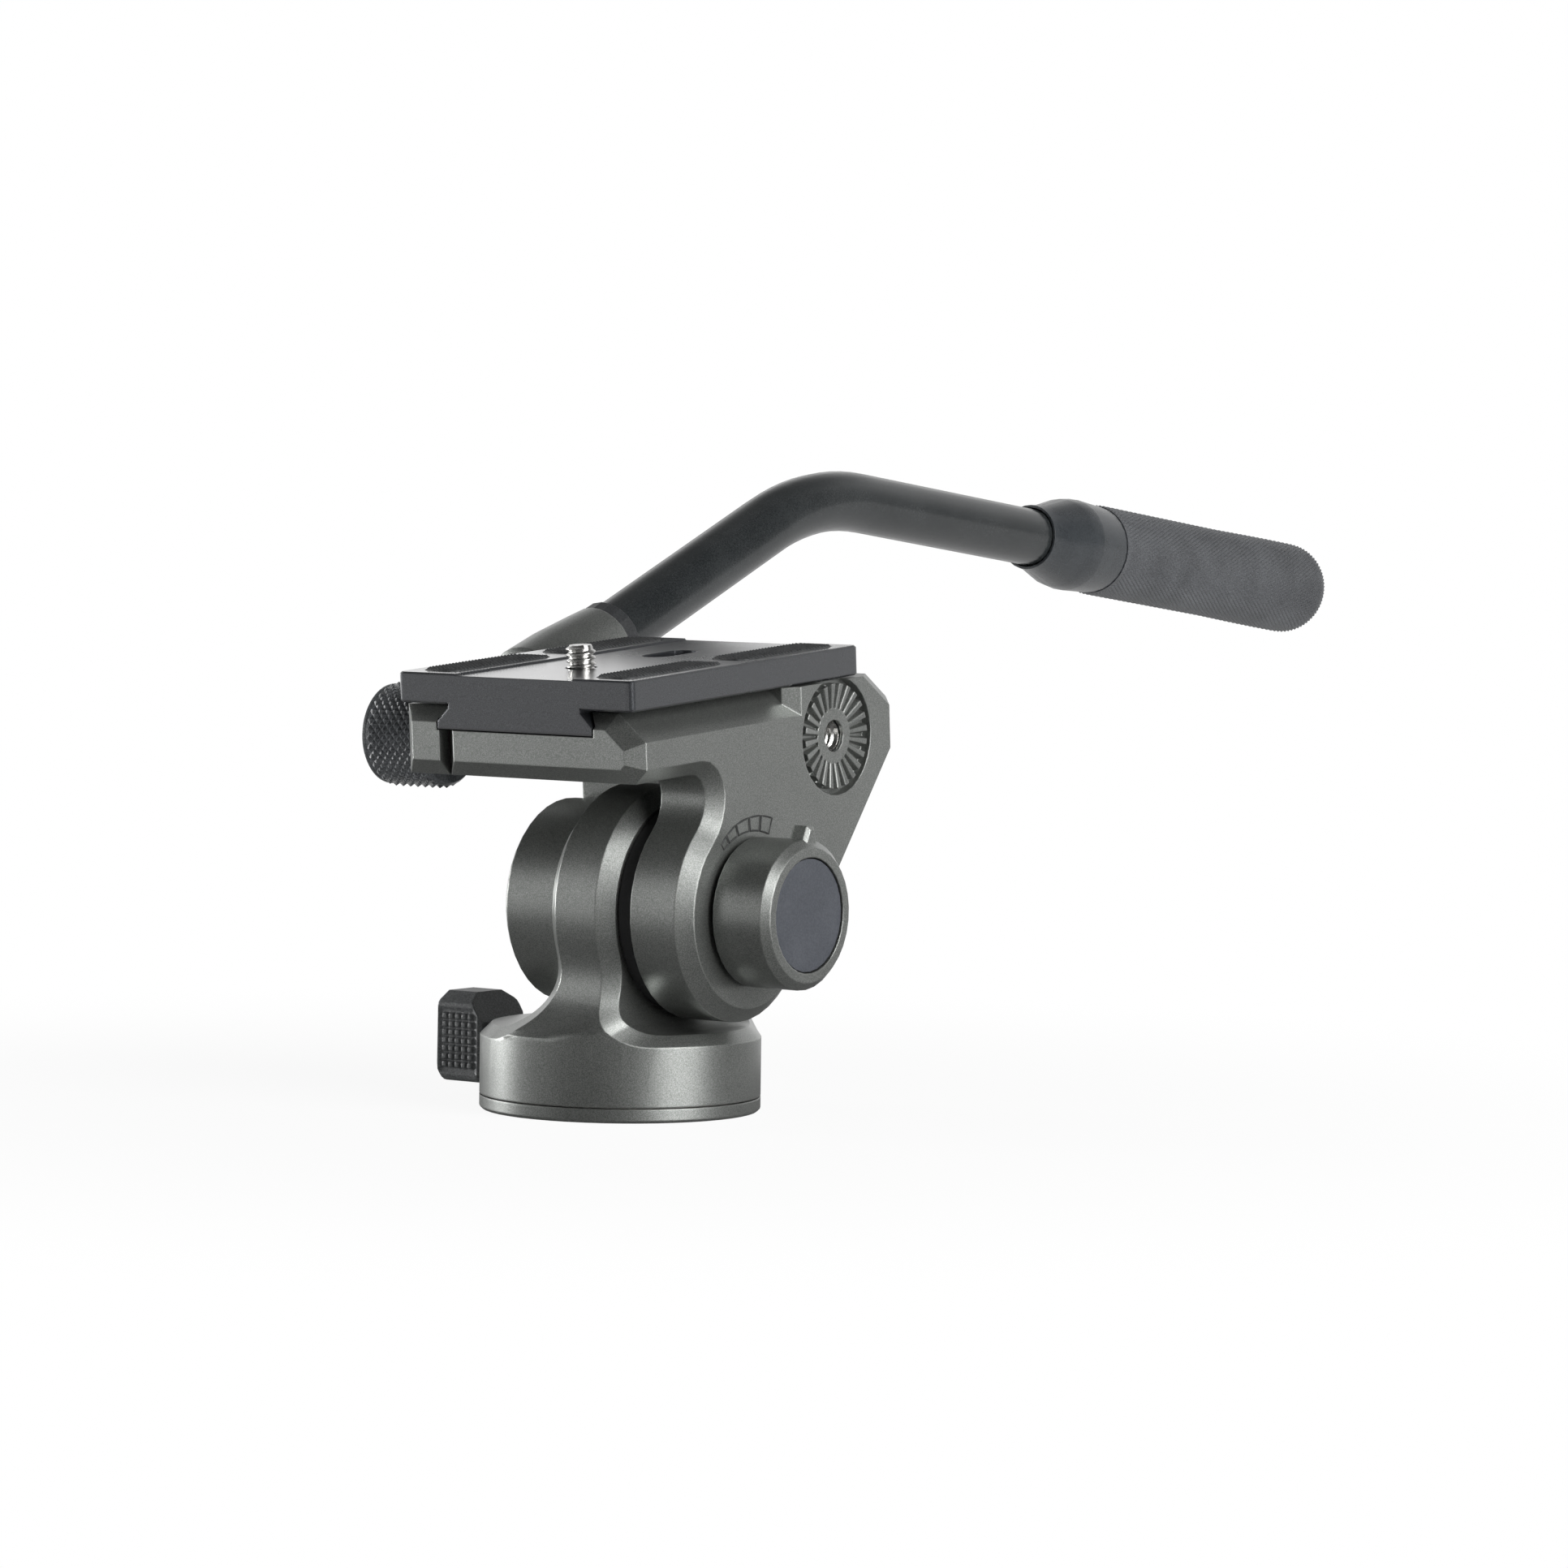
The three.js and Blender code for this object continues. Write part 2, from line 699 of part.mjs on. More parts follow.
// What turns with the pan housing: retaining ring, brake shoe, tilt axle and nut, rotor, friction disc
function makePanInside() {
  const inside = new THREE.Group();
  const retainerTop = retainerBottom + retainerThickness;
  const retainer = ring(spindleRadius + fitGap, retainerRadius, retainerBottom, retainerTop);
  inside.add(piece("pan_retaining_ring", retainer, brass));

  const shoeEnd = -flangeRadius - fitGap;
  const shoe = piece("pan_brake_shoe", rod(shoeRadius, shoeEnd - shoeLength, shoeEnd, "x"), brass);
  shoe.position.z = lockHeight;
  inside.add(shoe);

  const onAxis = new THREE.Group();
  onAxis.position.z = tiltAxisHeight;
  const axleLeft = drumLeft + capThickness + fitGap;
  const threadEnd = cheekOuter - axleThreadDepth;
  const axle = turned([
    [0, axleLeft],
    [axleRadius, axleLeft],
    [axleRadius, cheekOuter],
    [axleThread, cheekOuter],
    [axleThread, threadEnd],
    [0, threadEnd],
  ], "x");
  onAxis.add(piece("tilt_axle", axle, darkSteel));

  const nutRight = drumLeft + drumRecess() - fitGap;
  const hexagon = rod(nutRadius, nutRight - nutThickness, nutRight, "x", 6);
  const nutBore = rod(axleRadius + fitGap, nutRight - nutThickness - overrun, nutRight + overrun, "x");
  onAxis.add(piece("tilt_axle_nut", cut(hexagon, nutBore), darkSteel));

  const rotorRight = drumRight - fitGap;
  const rotorRadius = cartridgeRadius - cartridgeWall - fitGap;
  const rotor = ring(axleRadius + fitGap, rotorRadius, rotorRight - rotorThickness, rotorRight, "x");
  onAxis.add(piece("drag_rotor", rotor, brass));

  const discLeft = uprightRight + fitGap;
  const discRight = discLeft + frictionDiscThickness;
  const frictionDisc = ring(axleRadius + fitGap, frictionDiscRadius, discLeft, discRight, "x");
  onAxis.add(piece("tilt_friction_disc", frictionDisc, blackPlastic));
  inside.add(onAxis);
  return inside;
}

// Depth of the recess in the drum's left end that holds the axle nut and the cap
function drumRecess() {
  return capThickness + nutThickness + 3 * fitGap;
}

// Pan lock: a two-sided thumb wing on a screw
function makePanLock() {
  const lock = new THREE.Group();
  lock.position.z = lockHeight;
  const hubRight = -baseRadius - seamGap;
  const wingRight = hubRight - leverHubLength;
  const wingLeft = wingRight - leverWidth;
  const half = leverThickness / 2;
  const side = outline([
    [-half, -leverBelow, leverEdge],
    [half, -leverBelow, leverEdge],
    [half, leverAbove - leverDraft, leverEdge],
    [half - leverDraft - leverEdge, leverAbove],
    [leverDraft + leverEdge - half, leverAbove],
    [-half, leverAbove - leverDraft, leverEdge],
  ]);
  const front = outline([
    [wingLeft, leverDraft + leverEdge - leverBelow],
    [wingLeft + leverDraft, -leverBelow],
    [wingRight, -leverBelow],
    [wingRight, leverHubRadius],
    [wingRight - leverDraft - leverEdge, leverAbove],
    [wingLeft + leverEdge / 2, leverAbove],
  ]);
  const wing = slabX(side, wingLeft, wingRight, leverEdge / 2).intersect(slabY(front, -half, half));
  const hub = rod(leverHubRadius, wingRight - leverEdge, hubRight, "x");
  const screwEnd = wingLeft + leverWidth / 2;
  const bore = rod(lockScrewRadius + fitGap, screwEnd - fitGap, hubRight + overrun, "x");
  lock.add(piece("pan_lock_lever", cut(join(wing, hub), bore), blackPlastic));
  const shoeBack = -flangeRadius - shoeLength - 2 * fitGap;
  lock.add(piece("pan_lock_screw", rod(lockScrewRadius, screwEnd, shoeBack, "x"), steel));
  return lock;
}

// Cross-section of the dovetail groove between the jaws, with its gap all round, as corners about the
// plate's centre
function grooveSection(half) {
  const lift = fitGap * Math.SQRT2;
  const lipTop = footBottom + footLip + lift;
  const neckHalf = half - dovetailRise;
  const top = lipTop + dovetailRise;
  return { half: half + fitGap * Math.SQRT2, lipTop, neckHalf: neckHalf + fitGap, top };
}

// Tilting casting, in the frame of the tilt axis: platform, fixed jaw, right cheek, left arm with its drum
function makeTiltBody() {
  const section = outline([
    [-platformLeft, platformUnderside],
    [cheekOuter - castChamfer, platformUnderside],
    [cheekOuter, platformUnderside + castChamfer],
    [cheekOuter, jawTop - shoulderDrop],
    [cheekOuter - shoulderWidth, jawTop],
    [-platformLeft, jawTop],
  ]);
  const block = slabY(section, -platformFront, platformRear + frontBevel, frontBevel);
  const platform = cut(block, box(
    -platformLeft - overrun,
    cheekOuter + overrun,
    platformRear,
    platformRear + 2 * frontBevel,
    0,
    plateTop,
  ));

  const groove = grooveSection(footHalfWidth);
  const grooveLeft = -platformLeft - jawWidth;
  const grooveShape = outline([
    [grooveLeft, grooveFloor],
    [plateCentre + groove.half, grooveFloor],
    [plateCentre + groove.half, groove.lipTop],
    [plateCentre + groove.half - dovetailRise, groove.top],
    [plateCentre + groove.half - dovetailRise, plateTop],
    [grooveLeft, plateTop],
  ]);
  const grooveCut = slabY(grooveShape, -platformFront - overrun, cheekBack + overrun);

  const cheek = makeCheek();
  const arm = makeLeftArm();
  const flatTop = box(
    -leftBossReach - overrun,
    cheekOuter + overrun,
    -platformFront - overrun,
    cheekBack + overrun,
    landTop,
    plateTop + 2 * overrun,
  );

  const holeStart = -platformLeft - overrun;
  const screwHole = rod(clampScrewRadius + fitGap, holeStart, clampReach - platformLeft + fitGap, "x");
  const pinHole = rod(guidePinRadius + fitGap, holeStart, guidePinReach - platformLeft + fitGap, "x");
  const clampHeight = grooveFloor - clampDrop;
  const pinHeight = (platformUnderside + grooveFloor) / 2;
  const bushBore = rod(axleRadius + bushWall + fitGap, cheekInner - overrun, cheekOuter + overrun, "x");
  const armWall = rod(axleRadius + fitGap, drumLeft - overrun, drumRight + overrun, "x");
  const recess = rod(drumRecessRadius, drumLeft - overrun, drumLeft + drumRecess(), "x");
  const cavity = rod(cartridgeRadius + fitGap, drumLeft + drumRecess() + drumWall, drumRight + overrun, "x");
  let body = cut(
    join(platform, cheek, arm),
    grooveCut,
    flatTop,
    screwHole.translate([0, -clampSetback, clampHeight]),
    pinHole.translate([0, guidePinInset - platformFront, pinHeight]),
    pinHole.translate([0, jawLength - platformFront - guidePinInset, pinHeight]),
    bushBore,
    armWall,
    recess,
    cavity,
  );

  const rightFloor = cheekOuter - rosetteDepth;
  const leftFloor = -leftBossReach + rosetteDepth;
  for (const [floor, outward] of [[rightFloor, 1], [leftFloor, -1]]) {
    const ends = [floor, floor + outward * overrun].sort((a, b) => a - b);
    const pocket = rod(rosetteRecess, ends[0], ends[1], "x").translate([0, rosetteSetback, rosetteHeight]);
    body = cut(body, pocket);
    const rise = rosetteDepth - toothHeight;
    const teeth = toothRing(floor + outward * rise, outward * toothHeight);
    body = join(body, teeth.translate([0, rosetteSetback, rosetteHeight]));
    const hubEnds = [floor - outward * fitGap, floor + outward * hubRise];
    hubEnds.sort((a, b) => a - b);
    const hub = rod(rosetteHub + fitGap, hubEnds[0], hubEnds[1], "x");
    body = join(body, hub.translate([0, rosetteSetback, rosetteHeight]));
    const bed = floor - outward * insertLength;
    const bedEnds = [bed, floor + outward * (hubRise - insertLip)].sort((a, b) => a - b);
    const mouthEnds = [bed, floor + outward * overrun].sort((a, b) => a - b);
    const bore = join(
      rod(insertRadius + fitGap, bedEnds[0], bedEnds[1], "x"),
      rod(insertBore + fitGap, mouthEnds[0], mouthEnds[1], "x"),
    );
    body = cut(body, bore.translate([0, rosetteSetback, rosetteHeight]), flatTop);
  }
  return piece("tilt_body", body, paint);
}

// Right cheek: one chamfered slab from the lobe round the axle to the rosette corner
function makeCheek() {
  const neckMiddle = THREE.MathUtils.lerp(platformUnderside, cheekLobe, cheekNeckShare);
  const upperFillet = platformUnderside - neckMiddle;
  const notch = cheekLobe - cheekNeckSetback;
  const lowerReach = neckMiddle * neckMiddle + cheekNeckSetback * cheekNeckSetback - cheekLobe * cheekLobe;
  const lowerFillet = lowerReach / (2 * notch);
  const notchCentre = [-cheekNeckSetback - lowerFillet, neckMiddle];
  const lobeTop = Math.atan2(notchCentre[1], notchCentre[0]);
  const backLow = [cheekBack, platformUnderside - cheekBackDrop];
  const backDistance = Math.hypot(...backLow);
  const tangent = Math.atan2(backLow[1], backLow[0]) - Math.acos(cheekLobe / backDistance);
  const cornerLow = [cheekBack, backLow[1] + cheekBackRise + castChamfer];
  const slopeReach = landTop + overrun - cornerLow[1];
  const shape = outline([
    [-platformFront + 2 * frontBevel, platformUnderside],
    [-cheekNeckSetback - upperFillet, platformUnderside],
    ...arc(-cheekNeckSetback - upperFillet, neckMiddle, upperFillet, Math.PI / 2, 0).slice(1, -1),
    ...arc(...notchCentre, lowerFillet, 0, lobeTop - Math.PI),
    ...arc(0, 0, cheekLobe, lobeTop, tangent + 2 * Math.PI).slice(1),
    backLow,
    cornerLow,
    [cheekBack - slopeReach * cheekCornerSlope, landTop + overrun],
    [bossFront, landTop + overrun],
    [bossFront, grooveFloor],
    [-platformFront + 2 * frontBevel, grooveFloor],
  ]);
  const slab = slabX(shape, cheekInner - castChamfer, cheekOuter, castChamfer);
  return cut(slab, box(
    cheekInner - castChamfer - overrun,
    cheekInner,
    -platformFront,
    cheekBack + overrun,
    -cheekLobe - overrun,
    platformUnderside,
  ));
}

// Left arm: the damper drum round the axle, a web up to the platform, and the boss that carries the handle
function makeLeftArm() {
  const rootRadius = drumRadius - drumEdge;
  const start = Math.acos(leftArmFront / rootRadius);
  const shape = outline([
    ...arc(0, 0, rootRadius, start, armDeparture() + 2 * Math.PI),
    [leftArmBack, platformUnderside],
    [leftArmBack, grooveFloor],
    [leftArmFront - leftArmFillet, grooveFloor],
    [leftArmFront - leftArmFillet, platformUnderside],
    ...arc(leftArmFront - leftArmFillet, platformUnderside - leftArmFillet, leftArmFillet, Math.PI / 2, 0).slice(1),
  ]);
  const web = slabX(shape, drumLeft + drumEdge, drumRight);
  const drum = turned([
    [0, drumLeft],
    [drumRadius - drumEdge, drumLeft],
    [drumRadius, drumLeft + drumEdge],
    [drumRadius, drumRight],
    [0, drumRight],
  ], "x");
  const bossShape = outline([
    ...arc(rosetteSetback, rosetteHeight, leftBossRadius, -Math.PI, 0),
    [rosetteSetback + leftBossRadius, landTop + overrun],
    [rosetteSetback - leftBossRadius, landTop + overrun],
  ]);
  const boss = slabX(bossShape, -leftBossReach, drumRight, rosetteDepth / 2);
  const bossEnd = box(
    drumLeft,
    drumRight + overrun,
    0,
    cheekBack + overrun,
    grooveFloor,
    plateTop,
  );
  return join(drum, web, cut(boss, bossEnd));
}

// Small pieces inside the tilting casting
function makeTiltInside() {
  const inside = new THREE.Group();
  const cap = rod(drumRecessRadius - fitGap, drumLeft, drumLeft + capThickness, "x");
  inside.add(piece("damper_end_cap", cap, blackPlastic));

  const cupLeft = drumLeft + drumRecess() + drumWall + fitGap;
  const cupRight = drumRight - rotorThickness - 2 * fitGap;
  const cup = turned([
    [axleRadius + 2 * fitGap, cupLeft],
    [cartridgeRadius, cupLeft],
    [cartridgeRadius, drumRight - fitGap],
    [cartridgeRadius - cartridgeWall, drumRight - fitGap],
    [cartridgeRadius - cartridgeWall, cupRight],
    [axleRadius + 2 * fitGap, cupRight],
    [axleRadius + 2 * fitGap, cupLeft],
  ], "x");
  inside.add(piece("drag_cartridge", cup, nylon));

  const bush = ring(axleRadius + fitGap, axleRadius + bushWall, cheekInner, cheekOuter, "x");
  inside.add(piece("tilt_bush", bush, brass));

  const sides = [["right", cheekOuter - rosetteDepth, 1], ["left", -leftBossReach + rosetteDepth, -1]];
  for (const [side, floor, outward] of sides) {
    const outerEnd = floor + outward * (hubRise - insertLip - fitGap);
    const ends = [floor - outward * (insertLength - fitGap), outerEnd].sort((a, b) => a - b);
    const insert = piece(`rosette_insert_${side}`, ring(insertBore, insertRadius, ...ends, "x"), steel);
    insert.position.set(0, rosetteSetback, rosetteHeight);
    inside.add(insert);
  }
  return inside;
}

// Sliding jaw with its guide pins
function makeJaw() {
  const jaw = new THREE.Group();
  const right = -platformLeft - jawGap;
  const left = right - jawWidth;
  const section = outline([
    [left, platformUnderside],
    [right + frontBevel, platformUnderside],
    [right + frontBevel, jawTop],
    [left, jawTop],
  ]);
  const block = slabY(section, -platformFront, jawLength - platformFront, frontBevel);
  const groove = grooveSection(footHalfWidth);
  const inner = plateCentre - groove.half;
  const grooveShape = outline([
    [inner, grooveFloor],
    [inner, groove.lipTop],
    [inner + dovetailRise, groove.top],
    [inner + dovetailRise, jawTop + overrun],
    [cheekInner, jawTop + overrun],
    [cheekInner, platformUnderside - overrun],
    [right, platformUnderside - overrun],
    [right, grooveFloor],
  ]);
  const screwHole = rod(clampScrewRadius + fitGap, left - overrun, right + overrun, "x");
  const pinHole = rod(guidePinRadius + fitGap, right - jawWidth / 2, right + overrun, "x");
  const pinHeight = (platformUnderside + grooveFloor) / 2;
  const pinPlaces = [guidePinInset - platformFront, jawLength - platformFront - guidePinInset];
  const body = cut(
    block,
    slabY(grooveShape, -platformFront - overrun, jawLength),
    screwHole.translate([0, -clampSetback, grooveFloor - clampDrop]),
    pinHole.translate([0, pinPlaces[0], pinHeight]),
    pinHole.translate([0, pinPlaces[1], pinHeight]),
  );
  jaw.add(piece("clamp_jaw", body, paint));
  ["front", "rear"].forEach((name, i) => {
    const pinLeft = right - jawWidth / 2 + fitGap;
    const pinBody = rod(guidePinRadius, pinLeft, guidePinReach - platformLeft, "x");
    const pin = piece(`jaw_guide_pin_${name}`, pinBody, steel);
    pin.position.set(0, pinPlaces[i], pinHeight);
    jaw.add(pin);
  });
  return jaw;
}

// Clamp knob on its screw, which runs through the jaw into the platform
function makeClampKnob() {
  const clamp = new THREE.Group();
  clamp.position.set(0, -clampSetback, grooveFloor - clampDrop);
  const right = -platformLeft - jawGap - jawWidth - clampKnobGap;
  const left = right - clampKnobLength;
  const edge = clampKnobRadius - clampRimRadius;
  const boreEnd = left + clampKnobLength / 3;
  const knob = turned([
    [0, left],
    [clampRimRadius - edge, left],
    [clampRimRadius, left + edge],
    [clampRimRadius, left + clampRimWidth],
    [clampKnobRadius, left + clampRimWidth + edge],
    [clampKnobRadius, right - edge],
    [clampRimRadius, right],
    [clampScrewRadius + fitGap, right],
    [clampScrewRadius + fitGap, boreEnd],
    [0, boreEnd],
  ], "x");
  clamp.add(piece("clamp_knob", knob, blackPlastic));
  const screw = rod(clampScrewRadius, boreEnd + fitGap, clampReach - platformLeft, "x");
  clamp.add(piece("clamp_screw", screw, steel));
  return clamp;
}

// Quick release plate with its four rubber pads and two stop screws
function makePlate() {
  const plate = new THREE.Group();
  plate.position.x = plateCentre;
  const footprint = outline([
    [-plateHalfWidth, plateFront, plateCorner],
    [plateHalfWidth, plateFront, plateCorner],
    [plateHalfWidth, platformRear, plateCorner],
    [-plateHalfWidth, platformRear, plateCorner],
  ]);
  const flange = slabZ(footprint, flangeBottom, plateTop, plateEdge);
  const neck = footHalfWidth - dovetailRise;
  const foot = slabY(outline([
    [-footHalfWidth, footBottom],
    [footHalfWidth, footBottom],
    [footHalfWidth, footBottom + footLip],
    [neck, footBottom + footLip + dovetailRise],
    [neck, flangeBottom + plateEdge],
    [-neck, flangeBottom + plateEdge],
    [-neck, footBottom + footLip + dovetailRise],
    [-footHalfWidth, footBottom + footLip],
  ]), plateFront, platformRear);
  const channelFloor = plateTop - channelDepth;
  const channel = box(
    -channelHalfWidth,
    channelHalfWidth,
    plateFront - overrun,
    platformRear + overrun,
    channelFloor,
    plateTop + overrun,
  );
  const slotEnd = slotFront + slotLength;
  const slotShape = (half) => outline([
    ...arc(0, slotEnd - slotWidth / 2, half, 0, Math.PI),
    ...arc(0, slotFront + slotWidth / 2, half, Math.PI, 2 * Math.PI),
  ]);
  const slot = slabZ(slotShape(slotWidth / 2), footBottom - overrun, plateTop + overrun);
  const ledge = slabZ(slotShape(slotWidth / 2 + slotLedge), footBottom - overrun, footBottom + ledgeDepth);
  const screwHole = rod(cameraScrewRadius + fitGap, footBottom - overrun, plateTop + overrun);
  const recessTop = footBottom + cameraHeadThickness + 2 * fitGap;
  const headRecess = rod(cameraHeadRadius + fitGap, footBottom - overrun, recessTop);
  let body = cut(
    join(flange, foot),
    channel,
    slot,
    ledge,
    screwHole.translate([0, -cameraScrewSetback, 0]),
    headRecess.translate([0, -cameraScrewSetback, 0]),
  );

  const padBottom = plateTop - padSink;
  const padX = plateHalfWidth - padInset - padWidth / 2;
  const half = padWidth / 2;
  const padShape = (gap) => outline([
    [-half - gap, -padLength / 2 - gap, padEnd],
    [half + gap, -padLength / 2 - gap, padEnd],
    [half + gap, padLength / 2 + gap, padEnd],
    [-half - gap, padLength / 2 + gap, padEnd],
  ]);
  const padFront = plateFront + padInset + padLength / 2;
  const padRear = platformRear - padInset - padLength / 2;
  const places = {
    front_left: [-padX, padFront],
    front_right: [padX, padFront],
    rear_left: [-padX, padRear],
    rear_right: [padX, padRear],
  };
  for (const [name, [x, y]] of Object.entries(places)) {
    const pocket = slabZ(padShape(fitGap), padBottom - fitGap, plateTop + overrun);
    body = cut(body, pocket.translate([x, y, 0]));
    const pad = piece(`plate_pad_${name}`, slabZ(padShape(0), padBottom, plateTop + padProud), rubber);
    pad.position.set(x, y, 0);
    plate.add(pad);
  }

  const stopTop = footBottom + stopLength;
  const stopHole = rod(stopRadius + fitGap, footBottom - overrun, stopTop + fitGap);
  const stopPlaces = { front: [0, plateFront + stopInset], rear: [0, platformRear - stopInset] };
  for (const [name, [x, y]] of Object.entries(stopPlaces)) {
    body = cut(body, stopHole.translate([x, y, 0]));
    const stop = piece(`plate_stop_screw_${name}`, rod(stopRadius, footBottom, stopTop), steel);
    stop.position.set(x, y, 0);
    plate.add(stop);
  }
  plate.add(piece("camera_plate", body, anodised));
  return plate;
}

// Camera screw: its slotted head sits in the underside of the plate
function makeCameraScrew() {
  const headTop = footBottom + fitGap + cameraHeadThickness;
  const tip = plateTop - channelDepth + cameraScrewProud;
  const edge = cameraScrewRadius / 6;
  const body = turned([
    [0, footBottom + fitGap],
    [cameraHeadRadius, footBottom + fitGap],
    [cameraHeadRadius, headTop],
    [cameraScrewRadius, headTop],
    [cameraScrewRadius, tip - edge],
    [cameraScrewRadius - edge, tip],
    [0, tip],
  ]);
  const coinSlot = box(
    -cameraHeadRadius - overrun,
    cameraHeadRadius + overrun,
    -coinSlotWidth / 2,
    coinSlotWidth / 2,
    footBottom - overrun,
    footBottom + fitGap + coinSlotDepth,
  );
  const screw = piece("camera_screw", cut(body, coinSlot), steel);
  screw.position.set(plateCentre, -cameraScrewSetback, 0);
  return screw;
}

// Tilt lock knob with its pointer, inset disc and stud
function makeTiltLock() {
  const lock = new THREE.Group();
  const left = cheekOuter + knobGap;
  const right = left + knobLength;
  const discFloor = right - knobDiscSink - knobDiscThickness - fitGap;
  const knob = turned([
    [0, left],
    [knobRadius, left],
    [knobRadius, right - knobChamfer],
    [knobRadius - knobChamfer, right],
    [knobDiscRadius + fitGap, right],
    [knobDiscRadius + fitGap, discFloor],
    [0, discFloor],
  ], "x");
  const half = pointerWidth / 2;
  const pointerRoot = knobDiscRadius + 2 * fitGap;
  const pointerFoot = Math.sqrt(knobRadius * knobRadius - half * half) - fitGap;
  const pointerShape = outline([
    [-half, pointerRoot],
    [half, pointerRoot],
    [half, pointerFoot],
    [half / 2, pointerReach],
    [-half / 2, pointerReach],
    [-half, pointerFoot],
  ]);
  const pointerLeft = left + pointerStart;
  const pointer = slabX(pointerShape, pointerLeft, pointerLeft + pointerLength, half / 3);
  const turnedPointer = pointer.rotate([THREE.MathUtils.radToDeg(pointerTurn), 0, 0]);
  const studRadius = axleThread - fitGap;
  const studLeft = cheekOuter - lockStudReach;
  const studRight = left + knobLength / 2;
  const studBore = rod(studRadius + fitGap, left - overrun, studRight + fitGap, "x");
  lock.add(piece("tilt_lock_knob", cut(join(knob, turnedPointer), studBore), paint));
  lock.add(piece("tilt_lock_stud", rod(studRadius, studLeft, studRight, "x"), steel));
  const face = rod(knobDiscRadius, discFloor + fitGap, right - knobDiscSink, "x");
  lock.add(piece("tilt_knob_inset_disc", face, inlay));
  return lock;
}

// The handle's route: a straight in one step, one bend in several, and a straight in one step
class HandleRoute extends THREE.Curve {
  constructor() {
    super();
    const tangentLength = handleBendRadius * Math.tan(handleBend / 2);
    this.first = handleBendAt - tangentLength - tubeStart;
    this.last = tubePastBend - tangentLength;
  }

  getUtoTmapping(share) {
    return share;
  }

  getPoint(share, target = new THREE.Vector3()) {
    const step = share * (bendSteps + 2);
    const turn = handleBend * THREE.MathUtils.clamp((step - 1) / bendSteps, 0, 1);
    const before = this.first * Math.min(step, 1);
    const after = this.last * Math.max(0, step - 1 - bendSteps);
    const y = tubeStart + before + handleBendRadius * Math.sin(turn) + after * Math.cos(turn);
    const z = handleBendRadius * (Math.cos(turn) - 1) - after * Math.sin(turn);
    return target.set(0, y, z);
  }
}

// Handle, in the frame of its rosette with the first straight along +Y
function makeHandle() {
  const handle = new THREE.Group();
  const plateLeft = handleFace - handlePlateThickness;
  const rise = rosetteDepth - toothHeight;
  const teeth = toothRing(handleFace - toothHeight, toothHeight);
  const bracketDisc = turned([
    [0, plateLeft],
    [handlePlateRadius - rise, plateLeft],
    [handlePlateRadius, plateLeft + rise],
    [handlePlateRadius, handleFace - toothHeight],
    [0, handleFace - toothHeight],
  ], "x");
  const barrel = turned([
    [0, -socketFront],
    [socketRadius - rise, -socketFront],
    [socketRadius, rise - socketFront],
    [socketRadius - rise / 2, socketWaistAt - socketRadius],
    [socketWaist, socketWaistAt],
    [socketRearRadius, socketRear],
    [0, socketRear],
  ], "y").translate([handlePlane, 0, handleAbove]);
  const tubeHole = rod(tubeRadius + fitGap, tubeStart - fitGap, socketRear + overrun, "y");
  const boltHole = rod(clampBoltRadius + fitGap, plateLeft - overrun, handleFace + overrun, "x");
  const bracket = cut(
    join(bracketDisc, barrel, teeth),
    tubeHole.translate([handlePlane, 0, handleAbove]),
    boltHole,
  );
  handle.add(piece("handle_socket", bracket, paint));

  const tube = new THREE.Group();
  tube.position.set(handlePlane, 0, handleAbove);
  const ringStart = socketRear + fitGap;
  const retainRing = ring(tubeRadius + fitGap, ringRadius, ringStart, ringStart + ringLength, "y");
  tube.add(piece("handle_ring", retainRing, rubber));

  const tubeGeometry = new THREE.ExtrudeGeometry(disc(0, 0, tubeRadius), {
    steps: bendSteps + 2,
    bevelEnabled: false,
    extrudePath: new HandleRoute(),
  });
  tube.add(piece("handle_tube", tubeGeometry, satinTube));
  handle.add(tube);

  const rear = new THREE.Group();
  rear.position.set(handlePlane, handleBendAt, handleAbove);
  rear.rotation.x = -handleBend;
  rear.add(...makeGrip());
  handle.add(rear);
  return handle;
}

// Collar and rubber grip on the second straight, which runs along +Y from the bend
function makeGrip() {
  const inner = tubeRadius + fitGap;
  const collarEnd = collarAt + collarLength;
  const bellFront = collarAt + bellLength;
  const flank = Array.from({ length: 5 }, (_, i) => {
    const share = i / 4;
    const swell = (1 - Math.cos(Math.PI * share)) / 2;
    return [collarNeck + (bellRadius - collarNeck) * swell, collarAt + bellLength * share];
  });
  const lip = (bellRadius - collarNeck) / 6;
  const collar = turned([
    [inner, collarAt],
    ...flank,
    [bellRadius, bellFront + lip],
    [bellRadius - lip, collarEnd],
    [inner, collarEnd],
    [inner, collarAt],
  ], "y");

  const gripStart = collarEnd + fitGap;
  const gripEnd = gripStart + gripLength;
  const roundStart = gripEnd - gripEndRound;
  const end = Array.from({ length: 6 }, (_, i) => {
    const angle = (Math.PI / 2) * (i / 5);
    const flat = gripRadius - gripEndRound;
    return [flat + gripEndRound * Math.cos(angle), roundStart + gripEndRound * Math.sin(angle)];
  });
  const boreEnd = tubePastBend + fitGap;
  const grip = turned([
    [inner, gripStart],
    [gripRadius, gripStart],
    [gripRadius, gripEnd - 4 * gripEndRound],
    [gripRadius + gripBulge, gripEnd - 2 * gripEndRound],
    ...end,
    [0, gripEnd],
    [0, boreEnd],
    [inner, boreEnd],
    [inner, gripStart],
  ], "y");
  return [piece("handle_collar", collar, blackPlastic), piece("handle_grip", grip, rubber)];
}

